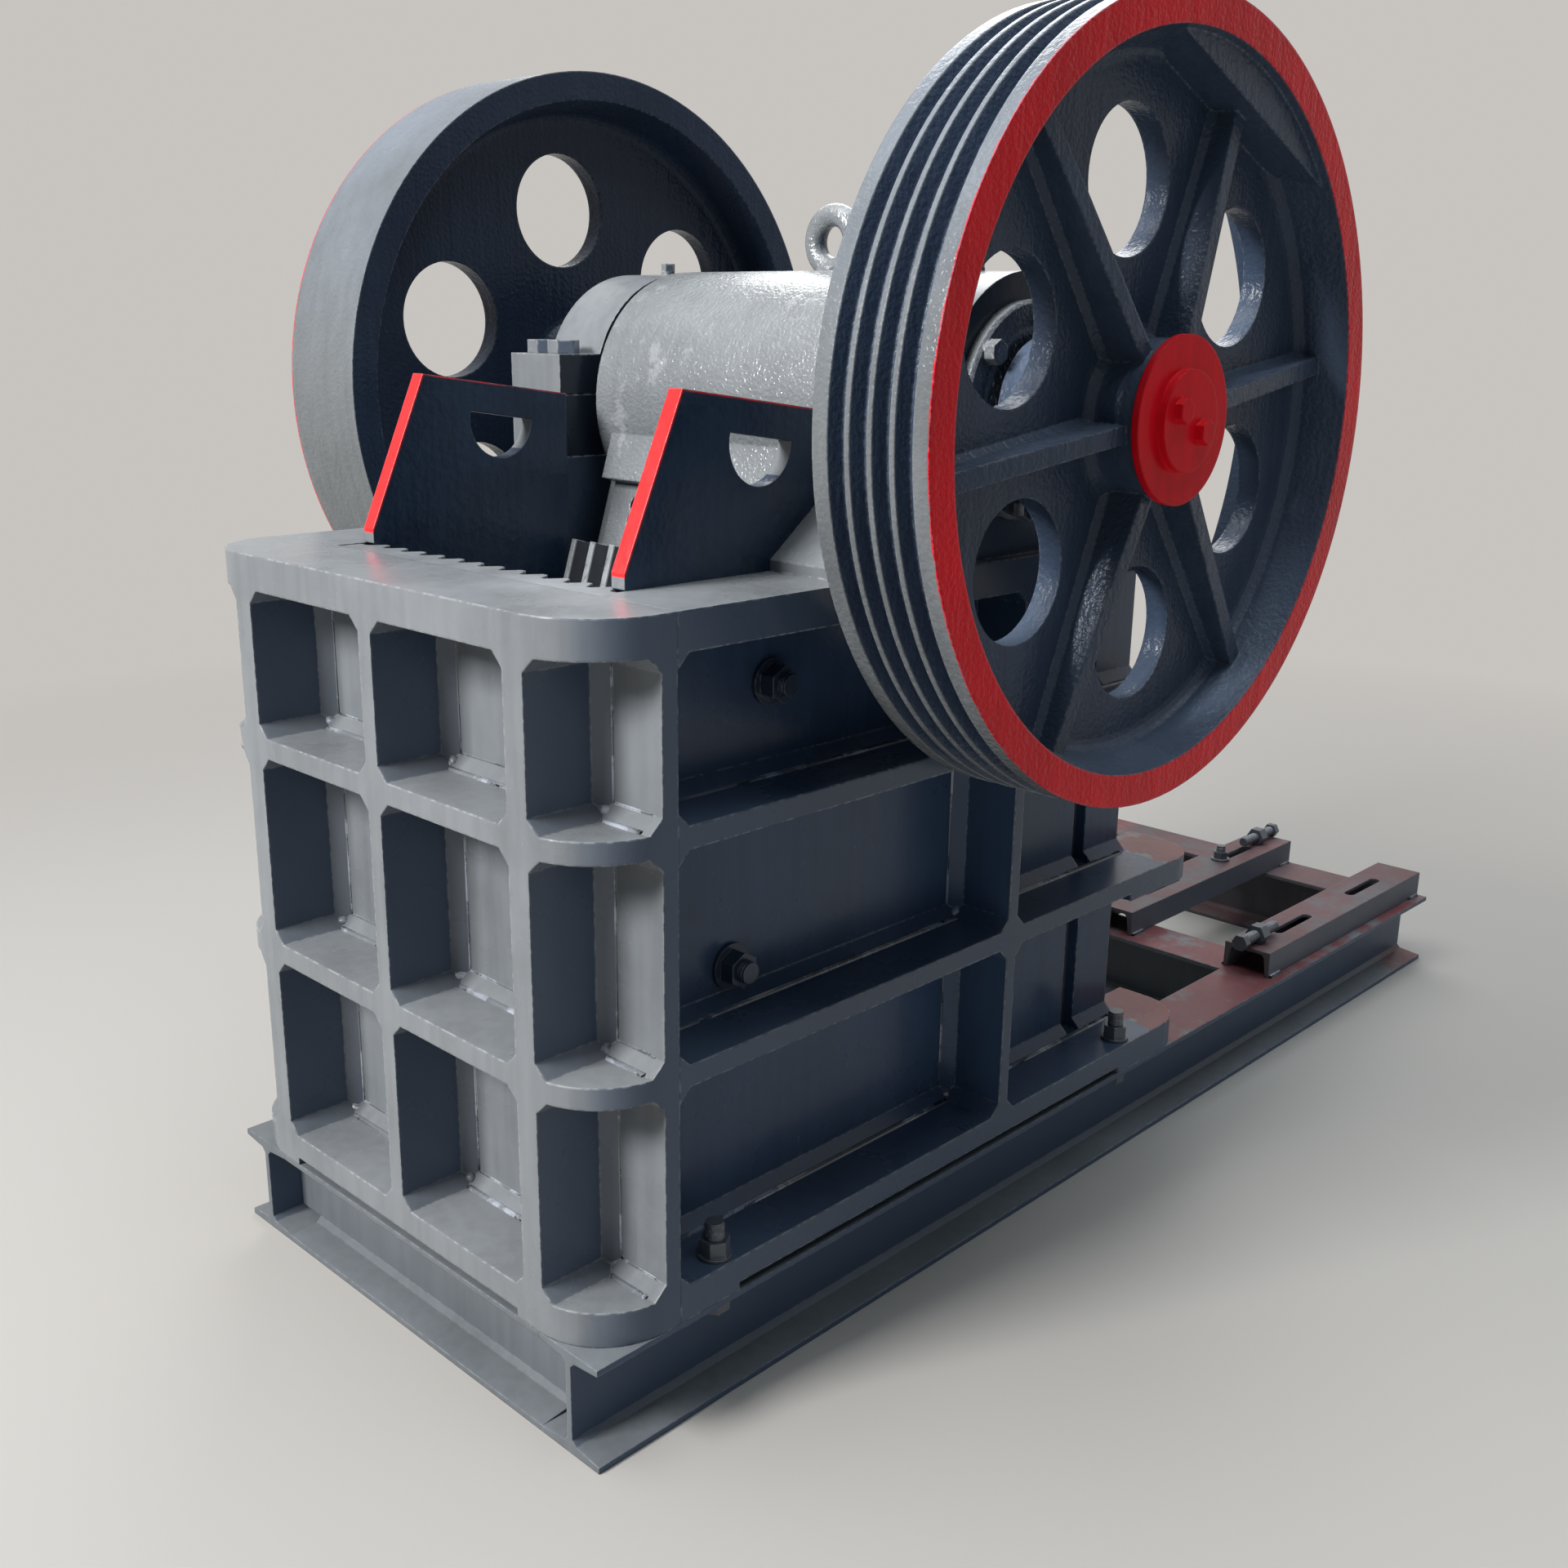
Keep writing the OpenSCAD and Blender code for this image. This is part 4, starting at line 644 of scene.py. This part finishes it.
# Weld beads: one long rippled bead is modelled once, then copied to every seam and cut to length.
# Each copy is cut from another stretch of it, and each lump in a corner is turned another way
weldSettings = {"sides": 10, "pitch": 0.006, "length": 0.7, "bulge": 1.16, "lumps": 0.45,
                "noise": 0.9, "radius": 0.0055, "sink": 0.0034, "fine": 0.0026, "fineSink": 0.0017,
                "shift": 0.0137, "shifts": 9}
lumpSettings = {"radius": 0.010, "shape": (1.25, 1.0, 0.8), "uneven": 0.007, "noise": 0.011,
                "set": 0.0045, "turn": 1.3, "tilt": 0.5, "tilts": 3}


def deselectAll():
    bpy.ops.object.select_all(action="DESELECT")


def activate(piece):
    deselectAll()
    piece.select_set(True)
    bpy.context.view_layer.objects.active = piece


def copyPiece(pattern, name):
    copied = bpy.data.objects.new(name, pattern.data.copy())
    bpy.context.collection.objects.link(copied)
    return copied


# Makes a mesh uneven with clouds of a given scale
def addLumps(piece, name, scale, strength):
    clouds = bpy.data.textures.new(name, "CLOUDS")
    clouds.noise_scale = scale
    uneven = piece.modifiers.new("uneven", "DISPLACE")
    uneven.texture = clouds
    uneven.strength = strength
    bpy.ops.object.modifier_apply(modifier="uneven")


def modelBead():
    deselectAll()
    bpy.ops.mesh.primitive_circle_add(vertices=weldSettings["sides"], radius=1, location=(0, 0, 0))
    bead = bpy.context.object
    bead.name = "beadPattern"
    half = weldSettings["pitch"] / 2
    bpy.ops.object.mode_set(mode="EDIT")
    bpy.ops.mesh.select_all(action="SELECT")
    for grow in (weldSettings["bulge"], 1 / weldSettings["bulge"]):
        bpy.ops.mesh.extrude_region_move(TRANSFORM_OT_translate={"value": (0, 0, half)})
        bpy.ops.transform.resize(value=(grow, grow, 1))
    bpy.ops.object.mode_set(mode="OBJECT")
    repeat = bead.modifiers.new("repeat", "ARRAY")
    repeat.count = int(weldSettings["length"] / weldSettings["pitch"])
    repeat.use_relative_offset = False
    repeat.use_constant_offset = True
    repeat.constant_offset_displace = (0, 0, weldSettings["pitch"])
    repeat.use_merge_vertices = True
    bpy.ops.object.modifier_apply(modifier="repeat")
    addLumps(bead, "weldLumps", weldSettings["noise"], weldSettings["lumps"])
    return bead


# A copy of the bead from start to end, cut to length, closed and sunk away from its open side
def layBead(pattern, start, end, opening, offset, radius, sink):
    start = Vector(start) - sink * Vector(opening).normalized()
    end = Vector(end) - sink * Vector(opening).normalized()
    along = end - start
    bead = copyPiece(pattern, "bead")
    activate(bead)
    bpy.ops.object.mode_set(mode="EDIT")
    for height, inner in ((offset, True), (offset + along.length, False)):
        bpy.ops.mesh.select_all(action="SELECT")
        bpy.ops.mesh.bisect(plane_co=(0, 0, height), plane_no=(0, 0, 1), use_fill=True,
                            clear_inner=inner, clear_outer=not inner)
    bpy.ops.mesh.select_all(action="SELECT")
    bpy.ops.mesh.normals_make_consistent(inside=False)
    bpy.ops.object.mode_set(mode="OBJECT")
    turn = along.to_track_quat("Z", "Y").to_matrix().to_4x4()
    size = Matrix.Diagonal((radius, radius, 1, 1))
    bead.data.transform(Matrix.Translation(start) @ turn @ size @ Matrix.Translation((0, 0, -offset)))
    return bead


def finishPiece(parts, name, finish, body, smooth=50):
    deselectAll()
    for part in parts:
        part.select_set(True)
    bpy.context.view_layer.objects.active = parts[0]
    if len(parts) > 1:
        bpy.ops.object.join()
    piece = bpy.context.view_layer.objects.active
    piece.name = name
    piece.data.name = name
    if smooth:
        bpy.ops.object.shade_smooth_by_angle(angle=math.radians(smooth))
    piece.data.materials.clear()
    piece.data.materials.append(materials[finish])
    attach(piece, body)
    return piece


beadPattern = modelBead()

# Places of the frame's seams: window rows, strips and walls, in metres
seams = {
    "rows": ((0.162, 0.390), (0.414, 0.642), (0.666, 0.836)),
    "frontDepth": -0.896, "strip": 0.015, "cornerEnd": 0.014,
    "frontColumns": ((-0.2345, -0.0115), (0.0115, 0.2345)),
    "cornerColumns": ((-0.352, -0.2655), (0.2655, 0.352)),
    "wallX": 0.2655, "sideBays": ((-0.876, -0.328), (-0.311, 0.045)),
    "edge": 0.012, "outerX": 0.34, "lean": (0.38, 0.92),
}


# Seams of one side: start, end, open side and whether the bead is fine; then the corners with lumps
def seamLines(side):
    lines = []
    lumps = []
    strip = seams["strip"]
    inset = lumpSettings["set"]
    slight, steep = seams["lean"]
    for low, high in seams["rows"]:
        if side == "front":
            backY = seams["frontDepth"]
            for x0, x1 in seams["frontColumns"] + seams["cornerColumns"]:
                left = x0 + (strip if abs(x0) < seams["outerX"] else seams["cornerEnd"])
                right = x1 - (strip if abs(x1) < seams["outerX"] else seams["cornerEnd"])
                lines.append(((left, backY - strip, low), (right, backY - strip, low),
                              (0, -slight, steep), False))
                lines.append(((left, backY, low + strip), (right, backY, low + strip),
                              (0, -steep, slight), True))
                for x in (x0, x1):
                    if abs(x) < seams["outerX"]:
                        inward = 1 if x == x0 else -1
                        lines.append(((x + inward * strip, backY, low + strip),
                                      (x + inward * strip, backY, high - strip),
                                      (slight * inward, -steep, 0), True))
                        lumps.append((x + inward * inset, backY - inset, low + inset))
        else:
            sign = 1 if side == "right" else -1
            wall = sign * seams["wallX"]
            for y0, y1 in seams["sideBays"]:
                stop = y1 - strip if y1 < 0 else y1 - seams["edge"]
                lines.append(((wall + sign * strip, y0 + strip, low), (wall + sign * strip, stop, low),
                              (slight * sign, 0, steep), False))
                for y in (y0, y1):
                    if y < 0:
                        inward = 1 if y == y0 else -1
                        lines.append(((wall, y + inward * strip, low + strip),
                                      (wall, y + inward * strip, high - strip),
                                      (steep * sign, slight * inward, 0), True))
                        lumps.append((wall + sign * inset, y + inward * inset, low + inset))
    return lines, lumps


# A lump of weld metal in a corner
def modelLump():
    deselectAll()
    bpy.ops.mesh.primitive_ico_sphere_add(subdivisions=3, radius=lumpSettings["radius"],
                                          location=(0, 0, 0))
    lump = bpy.context.object
    bpy.ops.object.mode_set(mode="EDIT")
    bpy.ops.mesh.select_all(action="SELECT")
    bpy.ops.transform.resize(value=lumpSettings["shape"])
    bpy.ops.object.mode_set(mode="OBJECT")
    addLumps(lump, "lumpDents", lumpSettings["noise"], lumpSettings["uneven"])
    return lump


lumpPattern = modelLump()
weldedSides = {"front": ("frame_front", "weldPaintWithPaintedGlint"), "left": ("frame_side_left", "sideWeldPaintedShadeAndGlint"),
               "right": ("frame_side_right", "sideWeldPaintedShadeAndGlint")}
for side, (slotNode, finish) in weldedSides.items():
    beads = []
    lines, lumps = seamLines(side)
    for index, (start, end, opening, isFine) in enumerate(lines):
        radius = weldSettings["fine"] if isFine else weldSettings["radius"]
        sink = weldSettings["fineSink"] if isFine else weldSettings["sink"]
        offset = weldSettings["shift"] * (index % weldSettings["shifts"])
        beads.append(layBead(beadPattern, start, end, opening, offset, radius, sink))
    for index, place in enumerate(lumps):
        lump = copyPiece(lumpPattern, "lump")
        turn = Matrix.Rotation(lumpSettings["turn"] * index, 4, "Z")
        tilt = Matrix.Rotation(lumpSettings["tilt"] * (index % lumpSettings["tilts"]), 4, "X")
        lump.data.transform(Matrix.Translation(place) @ turn @ tilt)
        beads.append(lump)
    finishPiece(beads, "welds_" + side, finish, "frame")

# Short beads that hold the motor rails on the skid: foot corners of both rails
railWelds = {"bottom": 0.122, "halfWidth": 0.040, "length": 0.034, "radius": 0.0055, "sink": 0.0012,
             "rails": (("motor_rail_inner", 0.037), ("motor_rail_outer", 0.294)),
             "ends": (0.424, 0.950), "shift": 0.01}
for slotNode, middle in railWelds["rails"]:
    beads = []
    for index, y in enumerate(railWelds["ends"]):
        for sign in (-1, 1):
            x = middle + sign * railWelds["halfWidth"]
            start = (x, y, railWelds["bottom"])
            end = (x, y + railWelds["length"], railWelds["bottom"])
            offset = railWelds["shift"] * (2 * index + sign + 1)
            beads.append(layBead(beadPattern, start, end, (sign, 0, 1), offset, railWelds["radius"],
                                 railWelds["sink"]))
    finishPiece(beads, slotNode + "_welds", "paleRailWeldWithPaintedGlint", "frame")
bpy.data.objects.remove(lumpPattern)
bpy.data.objects.remove(beadPattern)
print("welds laid")

# Rear tabs of the side walls: the photo's are longer and rounder than those of the CAD model
rearTabs = {"half": 0.352, "end": 0.078, "round": 0.026, "slack": 0.0008, "merge": 0.00002,
            "tabs": ({"low": 0.1215, "high": 0.1625, "reach": 0.059, "round": 0.070},
                     {"low": 0.3795, "high": 0.4145, "reach": 0.052, "round": 0.060})}


# Selects the vertices inside a box
def selectInside(piece, low, high):
    bpy.ops.mesh.select_all(action="DESELECT")
    bpy.ops.object.mode_set(mode="OBJECT")
    for vertex in piece.data.vertices:
        vertex.select = all(low[axis] < vertex.co[axis] < high[axis] for axis in range(3))
    bpy.ops.object.mode_set(mode="EDIT")


# A copy of a side wall whose two lower tabs are drawn out, then rounded about their outer corners
def modelSideWall(nodeName, sign):
    wall = copyPiece(nodes[nodeName], "wall")
    activate(wall)
    bpy.ops.mesh.customdata_custom_splitnormals_clear()
    bpy.ops.object.mode_set(mode="EDIT")
    bpy.ops.mesh.select_mode(type="VERT")
    bpy.ops.mesh.select_all(action="SELECT")
    bpy.ops.mesh.remove_doubles(threshold=rearTabs["merge"])
    half = rearTabs["half"]
    for tab in rearTabs["tabs"]:
        bend = rearTabs["end"] - rearTabs["round"] - rearTabs["slack"]
        selectInside(wall, (-beyond, bend, tab["low"]), (beyond, beyond, tab["high"]))
        bpy.ops.transform.translate(value=(0, tab["reach"], 0))
        inner = half - rearTabs["round"] - rearTabs["slack"]
        least, most = (inner, beyond) if sign > 0 else (-beyond, -inner)
        selectInside(wall, (least, bend + tab["reach"], tab["low"]), (most, beyond, tab["high"]))
        grow = tab["round"] / rearTabs["round"]
        corner = (sign * half, rearTabs["end"] + tab["reach"], 0)
        bpy.ops.transform.resize(value=(grow, grow, 1), center_override=corner)
    bpy.ops.object.mode_set(mode="OBJECT")
    return wall


for side, sign in (("right", 1), ("left", -1)):
    nodeName = "frame_side_" + side
    wall = modelSideWall(nodeName, sign)
    finishPiece([wall], "side_wall_" + side, "frameSidePaintWithPaintedShade", "frame", smooth=30)
    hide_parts(nodeName)
print("rear tabs shaped")

# Threaded ends: rings drawn out one after the other, copied to every stud and bolt
threadSettings = {"sides": 24, "pitch": 0.0025, "depth": 0.0009, "clear": 0.0001, "tip": 0.0008,
                  "tipTaper": 0.86}


def modelThread(radius, length):
    deselectAll()
    root = radius + threadSettings["clear"]
    crest = (root + threadSettings["depth"]) / root
    half = threadSettings["pitch"] / 2
    bpy.ops.mesh.primitive_circle_add(vertices=threadSettings["sides"], radius=root, fill_type="NGON",
                                      location=(0, 0, 0))
    thread = bpy.context.object
    bpy.ops.object.mode_set(mode="EDIT")
    bpy.ops.mesh.select_all(action="SELECT")
    for turn in range(int(length / threadSettings["pitch"])):
        for grow in (crest, 1 / crest):
            bpy.ops.mesh.extrude_region_move(TRANSFORM_OT_translate={"value": (0, 0, half)})
            bpy.ops.transform.resize(value=(grow, grow, 1))
    bpy.ops.mesh.extrude_region_move(TRANSFORM_OT_translate={"value": (0, 0, threadSettings["tip"])})
    bpy.ops.transform.resize(value=(threadSettings["tipTaper"], threadSettings["tipTaper"], 1))
    bpy.ops.mesh.select_all(action="SELECT")
    bpy.ops.mesh.normals_make_consistent(inside=False)
    bpy.ops.object.mode_set(mode="OBJECT")
    return thread


def copyThread(pattern, place, direction):
    copied = copyPiece(pattern, "thread")
    turn = Vector(direction).to_track_quat("Z", "Y").to_matrix().to_4x4()
    copied.data.transform(Matrix.Translation(place) @ turn)
    return copied


# Where threads stand: the place of each root and its direction, with the radius and length
threadPlaces = [
    {"name": "stud_threads", "slot": "hold_down_bolts", "body": "frame", "radius": 0.010,
     "length": 0.0185, "at": [((sx * 0.329, y, 0.184), (0, 0, 1)) for sx in (-1, 1)
                              for y in (-0.806, -0.025)]},
    {"name": "cheek_bolt_threads", "slot": "cheek_bolts", "body": "frame", "radius": 0.012,
     "length": 0.0085, "finish": "navyBolt",
     "at": [((sx * 0.2895, y, z), (sx, 0, 0)) for sx in (-1, 1)
            for y, z in ((-0.667, 0.765), (-0.724, 0.457))]},
    {"name": "clamp_bolt_thread", "slot": "rail_clamp_bolt", "body": "frame", "radius": 0.008,
     "length": 0.0095, "at": [((0.037, 0.787, 0.182), (0, 0, 1))]},
    {"name": "adjuster_tail_threads", "slot": "rail_adjusting_bolts", "body": "frame", "radius": 0.008,
     "length": 0.0425, "at": [((0.037, 0.9165, 0.180), (0, -1, 0)), ((0.294, 0.4625, 0.180), (0, 1, 0))]},
    {"name": "adjuster_neck_threads", "slot": "rail_adjusting_bolts", "body": "frame", "radius": 0.008,
     "length": 0.039, "at": [((0.037, 0.9375, 0.180), (0, 1, 0)), ((0.294, 0.4415, 0.180), (0, -1, 0))]},
    {"name": "rod_thread", "slot": "tension_rod", "body": "jaw", "radius": 0.012,
     "length": 0.0205, "at": [((0, 0.157, 0.222), (0, 1, 0))]},
]
for place in threadPlaces:
    pattern = modelThread(place["radius"], place["length"])
    copies = [copyThread(pattern, at, direction) for at, direction in place["at"]]
    bpy.data.objects.remove(pattern)
    finish = place.get("finish", "boltSteel")
    finishPiece(copies, place["name"], finish, place["body"], smooth=0)
print("threads made")

# Plain pale floor, which fades into an even background away from the object, and soft lamps
stageSettings = {"floor": (0.370, 0.352, 0.330), "floorRough": 0.8, "size": 80, "drop": 0.0005,
                 "world": (0.62, 0.81, 1.0), "strength": 0.12, "seen": (0.575, 0.552, 0.525),
                 "fadeFrom": 1.0, "fadeLength": 2.7}


# Rays that look at the background: straight from the camera, mirrored or let through
def seenRays(tree, path):
    rays = mathNode(tree, (-500, 700), "MAXIMUM", path.outputs["Is Camera Ray"],
                    path.outputs["Is Glossy Ray"])
    return mathNode(tree, (-300, 700), "MAXIMUM", rays, path.outputs["Is Transmission Ray"])


deselectAll()
bpy.ops.mesh.primitive_plane_add(size=stageSettings["size"],
                                 location=(0, 0, -stageSettings["drop"]))
floor = bpy.context.object
floor.name = "floor"
floorMaterial = bpy.data.materials.new("floor")
floorMaterial.use_nodes = True
floorTree = floorMaterial.node_tree
floorShader = floorTree.nodes["Principled BSDF"]
floorShader.inputs["Base Color"].default_value = opaque(stageSettings["floor"])
floorShader.inputs["Roughness"].default_value = stageSettings["floorRough"]
floorSeen = addNode(floorTree, "ShaderNodeEmission", (0, -300))
floorSeen.inputs["Color"].default_value = opaque(stageSettings["seen"])
floorPlace = addNode(floorTree, "ShaderNodeTexCoord", (-900, 300)).outputs["Object"]
reach = vectorNode(floorTree, (-700, 300), "LENGTH", floorPlace, output="Value")
faded = mathNode(floorTree, (-500, 300), "SUBTRACT", reach, stageSettings["fadeFrom"])
faded = mathNode(floorTree, (-350, 300), "DIVIDE", faded, stageSettings["fadeLength"], True)
floorPath = addNode(floorTree, "ShaderNodeLightPath", (-700, 600))
faded = mathNode(floorTree, (-50, 300), "MULTIPLY", faded, seenRays(floorTree, floorPath))
floorMix = addNode(floorTree, "ShaderNodeMixShader", (300, 200))
join(floorTree, faded, floorMix.inputs["Fac"])
join(floorTree, floorShader.outputs["BSDF"], floorMix.inputs[1])
join(floorTree, floorSeen.outputs["Emission"], floorMix.inputs[2])
join(floorTree, floorMix.outputs["Shader"], floorTree.nodes["Material Output"].inputs["Surface"])
floor.data.materials.append(floorMaterial)

world = bpy.data.worlds.new("studio") if scene.world is None else scene.world
scene.world = world
world.use_nodes = True
worldTree = world.node_tree
background = worldTree.nodes["Background"]
background.inputs["Color"].default_value = opaque(stageSettings["world"])
background.inputs["Strength"].default_value = stageSettings["strength"]
seen = addNode(worldTree, "ShaderNodeBackground", (-200, -200))
seen.inputs["Color"].default_value = opaque(stageSettings["seen"])
lightPath = addNode(worldTree, "ShaderNodeLightPath", (-500, 200))
mixed = addNode(worldTree, "ShaderNodeMixShader", (100, 0))
join(worldTree, seenRays(worldTree, lightPath), mixed.inputs["Fac"])
join(worldTree, background.outputs["Background"], mixed.inputs[1])
join(worldTree, seen.outputs["Background"], mixed.inputs[2])
join(worldTree, mixed.outputs["Shader"], worldTree.nodes["World Output"].inputs["Surface"])

lamps = [
    {"name": "key", "place": (-0.8, -4.9, 3.4), "aim": (0, -0.3, 0.6), "size": 1.4, "power": 400},
    {"name": "top", "place": (-0.9, -1.9, 4.7), "aim": (0, -0.2, 0.6), "size": 2.2, "power": 90},
    {"name": "sky", "place": (0.9, 0.6, 5.4), "aim": (0.9, 0.6, 0), "size": 4.0, "power": 185,
     "tint": (0.88, 0.95, 1.0)},
    {"name": "fill", "place": (4.6, 0.6, 2.6), "aim": (0, 0, 0.6), "size": 3.0, "power": 5,
     "tint": (0.70, 0.86, 1.0)},
    {"name": "rear", "place": (-3.2, 3.2, 4.4), "aim": (0, 0.2, 0.6), "size": 3.0, "power": 122},
]
for lamp in lamps:
    data = bpy.data.lights.new(lamp["name"], "AREA")
    data.shape = "SQUARE"
    data.size = lamp["size"]
    data.energy = lamp["power"]
    data.color = lamp.get("tint", (1.0, 1.0, 1.0))
    light = bpy.data.objects.new(lamp["name"], data)
    bpy.context.collection.objects.link(light)
    light.location = lamp["place"]
    aim = Vector(lamp["aim"]) - Vector(lamp["place"])
    light.rotation_euler = aim.to_track_quat("-Z", "Y").to_euler()
scene.view_settings.view_transform = "Standard"
print("stage and lamps ready")
